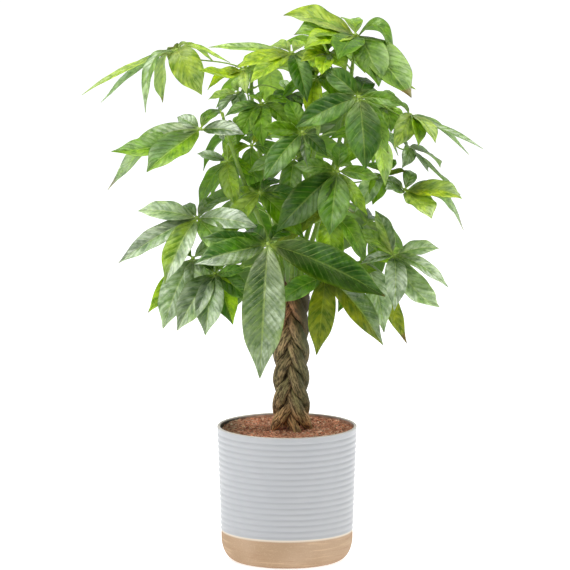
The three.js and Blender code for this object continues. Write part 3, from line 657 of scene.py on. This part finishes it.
def trunk(index, bark):
    """One trunk of the braid, with wrinkled bark, pressed against its neighbours."""
    draw = np.random.default_rng(TRUNK_SEED + index)
    end = TRUNK_TOP - np.array([2.4, 1.2, 0.4, 0])
    z = np.concatenate([[TRUNK_ROOT, 180, 200], np.arange(206, TRUNK_TOP - 3, BARK_STEP), end])
    centres = trunk_centre(index, z)
    ways = tube(centres, 1.0, TRUNK_SIDES) - centres[:, None]
    room, full = trunk_room(index, centres, ways)
    pressed, whole = 1 - room / full, np.ones_like(room)
    turns = round_turns(TRUNK_SIDES)
    relief = np.zeros_like(room)
    for lobes, size in BARK_LOBES:
        drift = draw.uniform(0, 6) + np.cumsum(draw.normal(0, 0.06, len(z)))
        relief += size * np.sin(lobes * turns + drift[:, None])
    z = z[:, None]
    for _ in range(BARK_RINGS):
        ring = draw.uniform(225, 450)
        relief += 0.35 * np.exp(-((z - ring - 1.5 * np.sin(turns + ring)) / 1.6) ** 2)
    shoulder = 1 - 0.42 * ease(TRUNK_TOP - 12, TRUNK_TOP, z) ** 2
    radius = (room + relief * (1 - 0.8 * ease(0.1, 0.5, pressed)) - 0.35) * shoulder
    rings = centres[:, None] + ways * radius[..., None]
    grain = [np.cos(turns) * whole, np.sin(turns) * whole, (z / 26 + 7 * index) * whole]
    # Painted shade in the creases between trunks and just above the soil
    crease = np.clip(ease(0.06, 0.42, pressed) + ease(222, 208, z) * 0.3, 0, 1)
    moss = 0.4 * ease(250, 330, z) * (0.5 + 0.5 * np.sin(turns + 0.05 * z + index))
    # Painted shade: the right side of the braid is darkened to olive
    moss = moss + 0.66 * ease(BRAID_CENTRE_X - 2, BRAID_CENTRE_X + 20, rings[..., 0])
    pale = 0.85 * ease(264, 232, z)
    shape = Shape()
    shape.rings(rings, grain=np.stack(grain, axis=-1), crease=crease, moss=moss * (1 - pale),
                ruddy=0.9 * ease(365, 420, z), pale=pale)
    return shape.piece(f"trunk_{index + 1}_bark", [f"trunk_{index + 1}"], "bark", [bark])


# Green stems
STEM_ROUTES = [
    [[40, 40, 556], [82, 62, 640], [102, 70, 710], [104, 72, 764]],
    [[50, -4, 560], [84, -8, 690], [104, -8, 800], [110, -6, 852]],
    [[14, -22, 560], [36, -56, 650], [50, -80, 720], [54, -84, 772]],
    [[-20, 34, 560], [-46, 32, 680], [-58, 20, 770], [-56, 8, 826]],
    [[-36, -30, 548], [-68, -48, 630], [-92, -52, 700], [-104, -48, 742]],
]


def stem_points(index):
    foot = trunk_centre(index, TRUNK_TOP) + [0, 0, CLEAR]
    return np.array([foot, foot + [0, 0, 14], *STEM_ROUTES[index]], float)


def on_stem(index, share):
    """A place on a centripetal Catmull-Rom curve through the stem's points."""
    points = stem_points(index)
    points = np.concatenate([[2 * points[0] - points[1]], points, [2 * points[-1] - points[-2]]])
    spans = len(points) - 3
    span = min(int(share * spans), spans - 1)
    s = share * spans - span
    a, b, c, d = points[span:span + 4]
    first, second, third = (math.sqrt(np.linalg.norm(q - p)) for p, q in ((a, b), (b, c), (c, d)))
    leave = ((b - a) / first - (c - a) / (first + second) + (c - b) / second) * second
    arrive = ((c - b) / second - (d - b) / (second + third) + (d - c) / third) * second
    square = 3 * (c - b) - 2 * leave - arrive
    cube = 2 * (b - c) + leave + arrive
    return b + leave * s + square * s * s + cube * s ** 3


def stem_radius(share):
    return STEM_FOOT_RADIUS + (STEM_TIP_RADIUS - STEM_FOOT_RADIUS) * share


def stem_place(index, share):
    """The place and heading at a share of the straight-sided stem that the solids have."""
    step = min(int(share * STEM_STEPS), STEM_STEPS - 1)
    start, end = on_stem(index, step / STEM_STEPS), on_stem(index, (step + 1) / STEM_STEPS)
    return start + (end - start) * (share * STEM_STEPS - step), unit(end - start)


WOODY = linear(116, 104, 58)
STEM_GREEN = linear(118, 150, 40)
STALK_GREEN = linear(136, 168, 52)
BUD_GREEN = linear(150, 178, 60)
KNOB_GREEN = linear(150, 176, 66)
BUD_SCALES = ((0.4, 0.15, 13), (2.4, 0.4, 9), (4.5, 0.45, 8))


def stem(index, look):
    """A green stem with a woody foot, a swollen node at each leaf and a bud at its tip."""
    shares = np.linspace(0, 1, STEM_ROWS)
    centres = np.array([on_stem(index, share) for share in shares])
    radius = stem_radius(shares) * (1 + 0.05 * np.sin(shares * 60 + index))
    for plan in PLANS:
        if plan["stem"] == index:
            radius += 0.8 * np.exp(-((shares - plan["share"]) / 0.014) ** 2)
    centres[0, 2] -= 3
    rings = tube(centres, radius, STEM_SIDES)
    tint = blended(STEM_GREEN, WOODY, ease(0.22, 0.0, shares)[:, None, None])
    shape = Shape()
    shape.rings(rings, tint=tint)
    tip, ahead = centres[-1], unit(centres[-1] - centres[-3])
    steps = np.linspace(0, 1, 9)
    plump = 1.9 * np.sin(math.pi * (0.22 + 0.78 * steps)) ** 0.8 + 0.05
    for turn, lean, length in BUD_SCALES:
        way = unit(ahead + turned(unit(np.cross(ahead, Y_AXIS)), ahead, turn) * lean)
        bud = tip - ahead * 1.5 + way * (steps * length)[:, None]
        shape.rings(tube(bud + ahead * (3 * steps ** 2)[:, None], plump, 10), tint=BUD_GREEN)
    return shape.piece(f"stem_{index + 1}_green", [f"stem_{index + 1}"], "stem", [look])


# Leaflets by letter: the colour of the upper face in even light, how strongly it shines, and
# how much painted sheen it takes, a pale grey-green highlight painted into its colour. Which
# letter a leaflet gets partly paints its light and shade: darker letters on shaded leaflets,
# paler ones on lit leaflets. Young and pale leaflets shine most.
COLOUR, GLOSS, BLOOM = range(3)
TONES = {
    "k": ((24, 60, 2), 0.35, 0.0),
    "d": ((42, 86, 6), 0.55, 0.12),
    "n": ((62, 108, 10), 0.7, 0.16),
    "m": ((87, 130, 14), 0.8, 0.2),
    "f": ((122, 157, 16), 0.7, 0.14),
    "b": ((147, 174, 12), 0.6, 0.08),
    "y": ((172, 192, 30), 0.6, 0.08),
    "q": ((152, 178, 74), 0.8, 0.3),
    "o": ((114, 127, 22), 0.5, 0.08),
    "g": ((72, 110, 38), 1.1, 0.75),
    "p": ((108, 142, 70), 1.2, 1.0),
    "e": ((52, 86, 30), 1.0, 0.6),
    "v": ((82, 122, 4), 0.35, 0.03),
    "w": ((56, 94, 2), 0.3, 0.0),
    "s": ((150, 174, 128), 1.2, 1.0),
    "a": ((88, 108, 66), 1.1, 0.7),
}
ROOT_GREEN = linear(158, 182, 70)
MARGIN_GREEN = linear(150, 170, 40)
DRY_BROWN = linear(104, 78, 44)

# The way towards the lights where the painted sheen is strongest, on leaves of the left and the
# middle and on those of the right
BLOOM_WAY_LEFT = np.array([-0.2, -0.79, 0.58])
BLOOM_WAY_RIGHT = np.array([0.25, -0.78, 0.57])
BLOOM_RIGHT_FROM = 100

# What the leaf's look reads where there is no leaflet
PLAIN = {"vein": 0.5, "across": 1.0, "under": 0.0, "gloss": 0.5, "bloom": 0.0, "seed": 0.0}

# Leaves as the solids have them: name, stem, share of the stem, hub, face, a colour letter
# for each leaflet, a capital where its tip is brown, and the leaflets' tips from the hub with
# width and arch where unusual. Letters after a slash are those of the half on the left hand
# of the way to the tip; the halves differ as painted light and shade of the fold, one half
# painted lit and the other shaded.
LEAVES = [
    ("front_low", 3, 0.3, (-31, -150, 550), (0, -0.85, 0.5), "akdndd/addedd",
     [(-13, -60, -211, 0.32, 0.08), (190, -15, -84, 0.3), (-107, -15, 12, 0.26),
     (-118, -50, -25, 0.36), (34, 72, 10), (-40, 78, 6)]),
    ("front_high", 3, 0.97, (116, -120, 786), (0.1, -0.85, 0.5), "ndndmm/dnndmm",
     [(10, -50, -112, 0.48), (-103, -30, -46), (-57, 20, 43, 0.52), (13, 50, 24, 0.62),
     (77, 20, -17, 0.3), (48, -5, -92, 0.32)]),
    ("front_centre", 3, 0.84, (25, -130, 730), (0, -0.8, 0.6), "nedvvf/nndvvf",
     [(-63, -40, -73, 0.4), (8, -30, -52, 0.28), (40, -20, -37, 0.42), (-66, -5, 5, 0.42),
     (-25, 50, 45, 0.42), (40, 45, 35, 0.42)]),
    ("top", 2, 0.97, (112, -20, 874), (0.15, -0.45, 0.9), "bfbvvVbmf/qfbvmmbmf",
     [(-118, -20, 34, 0.46, 0.14), (-100, -60, 8, 0.5, 0.12), (-85, -90, -10, 0.4),
     (-30, -110, -26, 0.46), (30, -75, -95, 0.5), (84, -85, -105, 0.46, 0.02),
     (97, -42, -84, 0.24, -0.14), (64, 12, -55, 0.5, 0.6), (-16, 90, 11)]),
    ("top_front", 2, 0.91, (66, -60, 851), (0, -0.6, 0.8), "bfybbm", [(43, -20, 10, 0.5),
     (30, -50, -23, 0.5), (-11, -60, -30, 0.46), (-44, -30, -12, 0.5), (-39, 0, 17, 0.5),
     (8, 40, 20)]),
    ("right_mid", 1, 0.62, (193, -30, 620), (0.3, -0.5, 0.8), "yqPgpg/qqPgpg",
     [(92, -20, -12, 0.52, 0.18), (42, -62, -38, 0.62, 0.08), (97, 68, -78, 0.32, 0.2),
     (-49, 15, 13, 0.45), (10, 60, 22), (-34, -52, 8, 0.42)]),
    ("right_high", 2, 0.74, (202, 10, 738), (0.5, -0.2, 0.85), "qppqfm", [(40, -40, -41, 0.6),
     (119, 0, -57, 0.22, 0.02), (98, 60, -76, 0.26, 0.04), (-28, -45, -50, 0.5),
     (12, -50, -45, 0.44), (-50, 40, 15)]),
    ("right_shoulder", 2, 0.66, (162, 48, 744), (0.3, -0.5, 0.8), "mffmm", [(-27, -20, -20, 0.5),
     (8, -40, -36, 0.5), (32, -5, -20, 0.5), (-26, 25, 12, 0.5), (6, 40, 23, 0.5)]),
    ("right_arm", 1, 0.84, (198, 30, 681), (0.6, 0.1, 0.8), "gggmp", [(87, 5, -80, 0.36, -0.02),
     (55, 70, -45), (33, -50, -33, 0.44, 0), (-45, 55, 5), (-10, -52, -27, 0.44)]),
    ("right_inner", 1, 0.54, (156, 20, 640), (0.2, -0.6, 0.8), "omsfm", [(40, -20, 0, 0.4),
     (-30, 30, 8, 0.5), (-44, -35, -59, 0.42), (-16, -35, -48, 0.5), (23, 30, 17, 0.46)]),
    ("left_top", 4, 0.93, (-181, 20, 843), (-0.4, -0.3, 0.87), "qpqpSoqq", [(42, -30, -70, 0.6),
     (-50, -40, -98, 0.26, 0.3), (-155, -5, -74, 0.13, 0.05), (-125, 50, -94, 0.24, 0.03),
     (-24, 76, -98, 0.34, 0.02), (24, 60, -72, 0.3), (62, 50, -27, 0.3),
     (88, 10, -22, 0.2, 0.06)]),
    ("left_shoulder", 4, 0.99, (8, -20, 844), (0, -0.5, 0.87), "qbbnfqq",
     [(-136, 15, 7, 0.16, 0.04), (-89, -35, -20, 0.36, 0.08), (-68, -70, -40, 0.34, 0.08),
     (25, -60, -73, 0.38), (66, -40, -12, 0.4), (35, 70, -2), (-45, 65, -4)]),
    ("left_arm", 4, 0.76, (-71, -10, 814), (-0.3, -0.6, 0.75), "bbqfb", [(-72, -45, 5, 0.36, 0),
     (-59, 20, -36, 0.34, 0.2), (5, -30, -35, 0.42), (62, -20, 12, 0.4), (30, 40, 25, 0.4)]),
    ("left_mid", 5, 0.94, (-141, -70, 726), (-0.2, -0.6, 0.77), "mnPegm/ffPegm",
     [(-144, -34, -32, 0.34, -0.1), (-86, -72, -60, 0.48, 0.06), (-153, 86, -114, 0.24, 0.12),
     (72, -35, -4, 0.42), (-38, 30, 15, 0.5), (34, 50, 25)]),
    ("left_low", 5, 0.5, (-146, -90, 583), (-0.15, -0.7, 0.7), "sefpmgg/spppmgg",
     [(-97, 20, 8, 0.38), (-128, -15, -72, 0.26, 0.06), (-52, -60, -99, 0.36), (98, -30, -11, 0.4),
     (58, -65, -62, 0.4), (39, 50, 26), (-23, 50, 13)]),
    ("right_low", 1, 0.4, (174, -60, 517), (0.2, -0.6, 0.77), "sppgqgg/sppqqgg",
     [(74, 15, 8, 0.42, 0.16), (89, -10, -52, 0.28), (74, -60, -76, 0.42, -0.22),
     (-30, 45, 66, 0.34), (-64, 30, 36, 0.4), (-54, -30, -10, 0.32), (0, -70, -80, 0.36)]),
    ("heart", 3, 0.66, (82, -110, 663), (0, -0.9, 0.4), "mdfmmm", [(-13, -45, -98, 0.48),
     (-100, -30, -95), (48, -30, -68, 0.26), (-72, 20, 6, 0.36), (6, 56, 40),
     (66, 10, -12, 0.36)]),
    ("low_centre", 2, 0.16, (62, -40, 478), (0.1, -0.75, 0.65), "oomfm/ogmfm",
     [(-14, -40, -124, 0.34), (95, -25, -110, 0.32), (-80, -35, -40), (85, 0, 10), (0, 60, 60)]),
    ("low_right", 1, 0.16, (123, 0, 500), (0.3, -0.7, 0.65), "pOmfm", [(36, -35, -117, 0.36),
     (74, 0, -141, 0.22, 0), (-40, -50, -80), (80, 30, 0), (-20, 50, 60)]),
    ("low_left", 5, 0.22, (-154, -20, 505), (-0.1, -0.8, 0.6), "pbpggm/gbpggm",
     [(-49, -40, -111, 0.4), (-74, 0, -91, 0.26, 0), (2, -50, -58, 0.4), (48, -40, -36),
     (60, 30, 30), (-50, 40, 40)]),
    ("low_inner", 5, 0.28, (-118, -75, 489), (0, -0.75, 0.65), "eednmmd/ppbnmmd",
     [(-61, -35, -89, 0.44), (-15, -45, -95, 0.44), (30, -25, -81, 0.44), (57, -25, -41, 0.5),
     (49, -20, 8, 0.46), (25, 35, 24), (-25, 35, 19)]),
    ("left_inner", 5, 0.8, (-97, -30, 668), (-0.4, -0.6, 0.7), "mfgff", [(-32, -15, -86, 0.34),
     (16, -50, -70), (-50, 20, 8, 0.34), (20, 60, 40), (60, -20, -20)]),
    ("shoulder_low", 4, 0.8, (-41, -50, 765), (-0.2, -0.5, 0.85), "nvvvff", [(-60, -10, -20, 0.42),
     (-40, -50, -60, 0.42), (2, -65, -62, 0.42), (50, -40, -35), (55, 20, -5), (-15, 65, 10)]),
    ("shoulder_small", 4, 0.68, (-80, 20, 773), (-0.5, -0.4, 0.8), "gqgmq", [(-31, -35, -31, 0.46),
     (-49, 20, -15, 0.4), (13, -50, -33, 0.44), (39, -20, 5, 0.44), (-3, 40, 18)]),
    ("crown_left", 4, 0.84, (5, 45, 770), (0, -0.6, 0.8), "nkddpm", [(33, -35, -19, 0.5),
     (11, -45, -36, 0.5), (-13, -40, -28, 0.5), (-30, -20, -5, 0.5), (-16, 25, 16, 0.5),
     (26, 25, 9, 0.5)]),
]

# Leaves of the inside and the back by rule: name, stem, share, hub, face, colour letters in
# turn, number of leaflets, longest leaflet and droop in degrees
RULED_LEAVES = [
    ("back_top", 2, 0.86, (62, 62, 850), (0.1, 0.5, 0.9), "fbf", 6, 105, 14),
    ("back_high", 4, 0.88, (-30, 122, 800), (-0.2, 0.6, 0.8), "qff", 6, 120, 16),
    ("back_left", 4, 0.62, (-84, 112, 704), (-0.6, 0.5, 0.6), "gmf", 6, 100, 18),
    ("back_right", 1, 0.95, (120, 155, 740), (0.4, 0.7, 0.6), "dfm", 6, 120, 18),
    ("back_middle", 1, 0.74, (20, 182, 668), (0, 0.8, 0.6), "mmdmmk", 6, 130, 18),
    ("back_low", 1, 0.5, (60, 185, 560), (0.1, 0.85, 0.5), "dmm", 6, 140, 20),
    ("back_low_left", 4, 0.4, (-80, 150, 580), (-0.4, 0.8, 0.5), "dmm", 6, 135, 20),
    ("back_low_right", 1, 0.3, (132, 100, 545), (0.6, 0.6, 0.5), "dmd", 6, 125, 22),
    ("back_foot", 4, 0.22, (-20, 105, 500), (0, 0.8, 0.6), "dmodd", 5, 130, 26),
    ("side_left", 4, 0.56, (-72, 84, 650), (-0.5, 0.3, 0.8), "mfm", 5, 95, 24),
    ("inner_left", 4, 0.5, (-58, -10, 690), (-0.3, -0.6, 0.7), "mbm", 5, 100, 26),
    ("inner_middle", 3, 0.5, (12, -30, 672), (0, -0.6, 0.75), "mfdmmd", 6, 105, 26),
    ("inner_top", 2, 0.82, (48, -30, 806), (-0.1, -0.6, 0.8), "vbv", 6, 90, 24),
    ("inner_low", 3, 0.4, (64, -64, 585), (0.2, -0.6, 0.75), "fomvom", 6, 125, 26),
    ("inner_right", 2, 0.58, (138, -36, 716), (0.4, -0.5, 0.75), "mfmqff", 6, 100, 24),
    ("inner_foot", 5, 0.34, (-44, -76, 622), (-0.2, -0.6, 0.7), "vffwdd", 6, 115, 26),
]


def seeded(seed):
    """Draws from 0 to 1 by Lehmer's rule, the same as those of the solids."""
    state = seed
    while True:
        state = (state * 16807) % 2147483647
        yield state / 2147483647


placing = seeded(PLACING_SEED)


def ruled_tips(face, count, longest, droop):
    """The tips of a ruled leaf, with the same draws in the same order as in the solids."""
    across = unit(np.cross(Z_AXIS, face))
    along = unit(np.cross(across, face))
    start = next(placing) * 360
    tips = []
    for i in range(count):
        turn = math.radians(start + 360 * (i + 0.3 * next(placing)) / count)
        dip = math.radians(droop + 16 * (next(placing) - 0.5))
        way = across * math.cos(turn) + along * math.sin(turn)
        length = longest * (1 - 0.2 * (1 - way @ along)) * (1 - 0.1 * next(placing))
        tips.append(way * length * math.cos(dip) - face * length * math.sin(dip))
    return tips


def leaf_plan(name, stem_number, share, hub, face, tones, tips):
    """One leaf as vectors, with its full name and each leaflet's values."""
    face = unit(np.array(face, float))
    # Letters after the slash paint the other half of the fold lit or shaded
    tones, halves = (tones.split("/") * 2)[:2]
    leaflets = []
    for i, row in enumerate(tips):
        tip = np.array(row[:3], float)
        leaflets.append({
            "tip": tip,
            "out": unit(tip - tip @ face * face),
            "width": row[3] if len(row) > 3 else WIDTH_RATIO,
            "arch": row[4] if len(row) > 4 else ARCH_RATIO,
            "tone": tones[i % len(tones)],
            "half": halves[i % len(tones)],
        })
    return {"name": "leaf_" + name, "stem": stem_number - 1, "share": share,
            "hub": np.array(hub, float), "face": face, "leaflets": leaflets}


PLANS = [leaf_plan(*row) for row in LEAVES]
for *row, count, longest, droop in RULED_LEAVES:
    tips = ruled_tips(unit(np.array(row[4], float)), count, longest, droop)
    PLANS.append(leaf_plan(*row, tips))

# Steps by which a solid's stalk or leaflet may have been bent to clear its neighbours
STALK_STEPS = [(bend, yaw) for bend in (0, 0.4, -0.4, 0.8)
               for yaw in (0, 25, -25, 50, -50, 80, -80)]
LEAFLET_STEPS = [(bend, yaw, scale) for bend in (0, 7, -7, 14, -14, 21, -21)
                 for yaw in (0, 8, -8, 16, -16) for scale in (1, 0.82, 0.66)]
SAME_PLACE = 0.05


def solid_points(name):
    """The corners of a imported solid, in millimetres."""
    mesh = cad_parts[name].data
    points = np.zeros(len(mesh.vertices) * 3, np.float32)
    mesh.vertices.foreach_get("co", points)
    return points.reshape(-1, 3).astype(float) / MM


def stalk_line(plan, step, shares):
    """Centres of a leaf stalk: square off its stem, up, and to the hub from below."""
    bend, yaw = step
    root, ahead = stem_place(plan["stem"], plan["share"])
    reach = plan["hub"] - root
    out = unit(reach - reach @ ahead * ahead)
    foot = root + out * (stem_radius(plan["share"]) + CLEAR + 0.05)
    neck = foot + out * 3
    length = np.linalg.norm(reach)
    rise = turned(ahead, out, math.radians(yaw))
    first = neck + out * 0.3 * length + rise * 0.2 * length * (1 + bend)
    second = plan["hub"] - plan["face"] * 0.25 * length * (1 + bend / 2)
    end = plan["hub"] - plan["face"] * 0.3
    return foot, bezier([neck, first, second, end], shares)[0]


def stalk_step(plan, points):
    """The step whose straight-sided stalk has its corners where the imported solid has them."""
    def off(step):
        centres = stalk_line(plan, step, [0.25, 0.5])[1]
        apart = np.linalg.norm(points[None] - centres[:, None], axis=2)
        return np.sort(np.abs(apart - STALK_RADIUS), axis=1)[:, :5].max()
    return min(STALK_STEPS, key=off)


def stepped_tip(plan, leaflet, step):
    """A leaflet's tip from the hub, once the leaflet is scaled, bent and turned by a step."""
    bend, yaw, scale = step
    side = np.cross(plan["face"], leaflet["out"])
    tip = turned(leaflet["tip"] * scale, side, -math.radians(bend))
    return turned(tip, plan["face"], math.radians(yaw))


def leaflet_step(plan, leaflet, points):
    """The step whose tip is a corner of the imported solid, or None for a leaflet left out."""
    for step in LEAFLET_STEPS:
        place = plan["hub"] + stepped_tip(plan, leaflet, step)
        if np.min(np.linalg.norm(points - place, axis=1)) < SAME_PLACE:
            return step
    return None


def blade_width(s):
    """Share of the half width: widest past the middle, drawn out to a fine tip."""
    full = np.sin(math.pi * np.clip(s, 0, 1) ** 0.95) ** 0.75
    return full * (1 - 0.5 * ease(0.7, 1, s))


def leaflet_rings(plan, leaflet, step, draw):
    """Loops of points round a thin blade, from its short stalk at the hub to its tip."""
    hub, face, out = plan["hub"], plan["face"], leaflet["out"]
    tip = stepped_tip(plan, leaflet, step)
    length = np.linalg.norm(tip)
    arch = face * leaflet["arch"] * length
    shares = np.linspace(0, 1, max(LEAST_ROWS, int(length / ROW_LENGTH)))
    line = [out * HUB_RADIUS, out * 0.35 * length + arch, tip * 0.7 + arch, tip]
    centre, ahead = bezier([hub + place for place in line], shares)
    lateral = turned(np.cross(face, out), face, math.radians(step[1]))
    across = unit(lateral - (ahead @ lateral)[:, None] * ahead)
    up = np.cross(ahead, across)

    # Place on the blade: s from root to tip, t from -1 to 1 across it, as a share of the width
    s, t = shares[:, None], LOOP_ACROSS * np.ones((len(shares), 1))
    aside = np.abs(t)
    width = leaflet["width"] * length / 2 * blade_width(s)
    width = np.maximum(width, 1.5 - 1.3 * ease(0.5, 1.0, s))
    veins = max(LEAST_VEINS, round(length / VEIN_SPACING))
    phase = veins * (s - 0.5 * leaflet["width"] * aside)

    # Height over the middle layer: folded at the rib, quilted between veins, waved at the edge
    keel = FOLD * width * (1.35 * aside - 0.35 * t * t)
    quilt = np.abs(np.sin(math.pi * phase)) * np.sqrt(np.clip(4 * aside * (1 - aside), 0, 1))
    quilt = QUILT * quilt * ease(0.0, 0.15, s) * ease(1.0, 0.8, s)
    waves = draw.uniform(1.6, 3.2, 2)
    phases = draw.uniform(0, 2 * math.pi, 2)
    half = np.where(t < 0, 0, 1)
    wave = WAVE * width * t * t * np.sin(waves[half] * s * 2 * math.pi + phases[half])
    frill = FRILL * width * aside ** 3 * np.sin(5 * math.pi * s + phases[0])
    thick = BLADE_THICK * (0.4 + 0.6 * (1 - t * t)) * (t * t < 1)
    rib = MIDRIB_DEPTH * (1 - 0.75 * s) * np.exp(-(t * width / MIDRIB_WIDTH) ** 2)
    rise = keel + quilt + wave + frill + np.where(LOOP_UNDER, -BLADE_THICK - rib, thick)
    offset = across[:, None] * (t * width)[..., None] + up[:, None] * rise[..., None]
    loops = centre[:, None] + offset
    foot = loops[:1] - loops[:1].mean(axis=1, keepdims=True) + hub + out * 1.2
    rows = [0, *range(len(shares))]
    return np.concatenate([foot, loops]), phase[rows], t[rows], s[rows]


def halved(kind, leaflet, t):
    """A leaflet's colour, gloss or painted sheen at places t across it; its two halves may differ,
    as painted light and shade of the fold.
    """
    first, second = (TONES[leaflet[key].lower()][kind] for key in ("tone", "half"))
    share = ease(-0.2, 0.2, t)
    if kind != COLOUR:
        return blended(first, second, share)
    return blended(linear(*first), linear(*second), share[..., None])


def leaf_tint(leaflet, s, t, draw):
    """A leaflet's colour: its own tone, darker toward the root as painted shade, yellower at its
    very root, yellower at the margin partly as a painted rim light, some tips brown.
    """
    along = s[..., None]
    tint = halved(COLOUR, leaflet, t) * draw.uniform(0.88, 1.14)
    tint = tint * np.array([draw.uniform(0.92, 1.1), 1, 1])
    # Painted shade: the blade darkens toward the hub
    tint = tint * (1 - 0.4 * ease(0.42, 0.08, along))
    tint = blended(tint, ROOT_GREEN, 0.5 * ease(0.09, 0.0, along))
    # Yellower margin, partly a painted rim light along the edge
    tint = blended(tint, MARGIN_GREEN, 0.16 * ease(0.75, 1.0, np.abs(t))[..., None])
    scorched, dry = draw.uniform(0, 1) < 0.15, leaflet["tone"].isupper()
    start = 0.86 if dry else 0.955
    return blended(tint, DRY_BROWN, 0.9 * (scorched or dry) * ease(start, start + 0.04, along))


def leaf(plan, looks):
    """A whole leaf: its stalk, the knob where the leaflets meet, and the leaflets."""
    points = solid_points(plan["name"])
    draw = np.random.default_rng(sum(map(ord, plan["name"])))
    shape = Shape()
    foot, bow = stalk_line(plan, stalk_step(plan, points), np.linspace(0, 1, STALK_ROWS))
    centres = np.concatenate([[on_stem(plan["stem"], plan["share"]), foot], bow])
    along = np.linspace(0, 1, len(centres))
    radius = STALK_RADIUS * (0.8 + 0.6 * ease(0.14, 0.0, along) + 0.35 * ease(0.88, 1.0, along))
    rings = tube(centres, radius, STALK_SIDES)
    shape.rings(rings, 1, tint=STALK_GREEN * (0.9 + 0.2 * along[:, None, None]), **PLAIN)
    tilt = np.linspace(0.05, math.pi - 0.05, 9)
    knob = plan["hub"] - plan["face"] * (KNOB_HALF_HEIGHT * np.cos(tilt))[:, None]
    rings = tube(knob, KNOB_RADIUS * np.sin(tilt), KNOB_SIDES, plan["leaflets"][0]["out"])
    shape.rings(rings, 1, tint=KNOB_GREEN, **PLAIN)
    way = BLOOM_WAY_RIGHT if plan["hub"][0] > BLOOM_RIGHT_FROM else BLOOM_WAY_LEFT
    for leaflet in plan["leaflets"]:
        step = leaflet_step(plan, leaflet, points)
        if step is None:
            continue
        loops, phase, t, s = leaflet_rings(plan, leaflet, step, draw)
        # Painted highlight: the sheen is laid on where the blade faces the lights' way and toward
        # the tip, with painted shade weakening it near the hub
        around = np.roll(loops, 1, axis=1) - np.roll(loops, -1, axis=1)
        facing = np.abs(unit(np.cross(np.gradient(loops, axis=0), around)) @ way)
        lit = 0.95 * ease(0.8, 0.98, facing) + 0.65 * ease(0.4, 1.0, s)
        lit = lit * (0.45 + 0.55 * ease(0.1, 0.5, s))
        bloom = np.clip(halved(BLOOM, leaflet, t) * lit, 0, 1) * ~LOOP_UNDER
        tint = leaf_tint(leaflet, s, t, draw)
        shape.rings(loops, tint=tint, vein=phase, across=np.abs(t), under=LOOP_UNDER, bloom=bloom,
                    gloss=halved(GLOSS, leaflet, t), seed=leaflet["tip"].sum() % 50)
    return shape.piece(f"{plan['name']}_grown", [plan["name"]], "leaf", looks)


# Stage
def floor():
    """A wide white square on which the pot stands."""
    mesh = bpy.data.meshes.new("floor")
    corners = [(-1, -1, 0), (1, -1, 0), (1, 1, 0), (-1, 1, 0)]
    mesh.from_pydata((np.array(corners) * FLOOR_HALF).tolist(), [], [(0, 1, 2, 3)])
    mesh.materials.append(floor_look())
    linked("floor", mesh)


def softbox(name, azimuth, elevation, size, radiance, colour):
    """A lit rectangle that faces the crown, seen from it at these angles; 0 is the front."""
    light = bpy.data.lights.new(name, "AREA")
    light.shape = "RECTANGLE"
    light.size, light.size_y = size
    light.energy = radiance * math.pi * size[0] * size[1]
    light.color = colour
    made = linked(name, light)
    turn, rise = math.radians(azimuth), math.radians(elevation)
    level = math.cos(rise)
    way = Vector((math.sin(turn) * level, -math.cos(turn) * level, math.sin(rise)))
    made.location = Vector(CROWN) * MM + way * LIGHT_DISTANCE
    made.rotation_euler = way.to_track_quat("Z", "Y").to_euler()


def studio():
    """The lights, in a white room that is brightest high up behind the plant."""
    room = Look("studio", "World")
    way = room.node("TexCoord").outputs["Generated"]
    dot = room.node("VectorMath", {0: way, 1: ROOM_WAY}, operation="DOT_PRODUCT").outputs["Value"]
    ramp = {"Value": dot, "From Min": 0.0, "From Max": 0.8, "To Min": 0.06, "To Max": 0.9}
    strength = room.node("MapRange", ramp, interpolation_type="SMOOTHSTEP").outputs[0]
    glow = room.node("Background", {"Color": (0.97, 0.99, 1.0), "Strength": strength})
    bpy.context.scene.world = room.surface(glow.outputs[0])
    for light in LIGHTS:
        softbox(*light)
    bpy.context.scene.view_settings.view_transform = "Standard"


def camera():
    """A long lens at the photograph's height and distance."""
    data = bpy.data.cameras.new("camera")
    data.sensor_width = SENSOR
    data.lens = SENSOR * VIEW_DISTANCE / FRAME_SIDE
    data.clip_end = CLIP_END
    made = linked("camera", data)
    tilt = math.radians(VIEW_ELEVATION)
    back = np.array([0, -math.cos(tilt), math.sin(tilt)])
    made.location = (np.array(VIEW_CENTRE) + back * VIEW_DISTANCE) * MM
    made.rotation_euler = (math.pi / 2 - tilt, 0, 0)
    bpy.context.scene.camera = made


camera()
studio()
floor()
pot()
soil()
bark = bark_look()
for index in range(TRUNKS):
    trunk(index, bark)
green = stem_look()
for index in range(TRUNKS):
    stem(index, green)
looks = [leaf_look(), green]
for plan in PLANS:
    leaf(plan, looks)
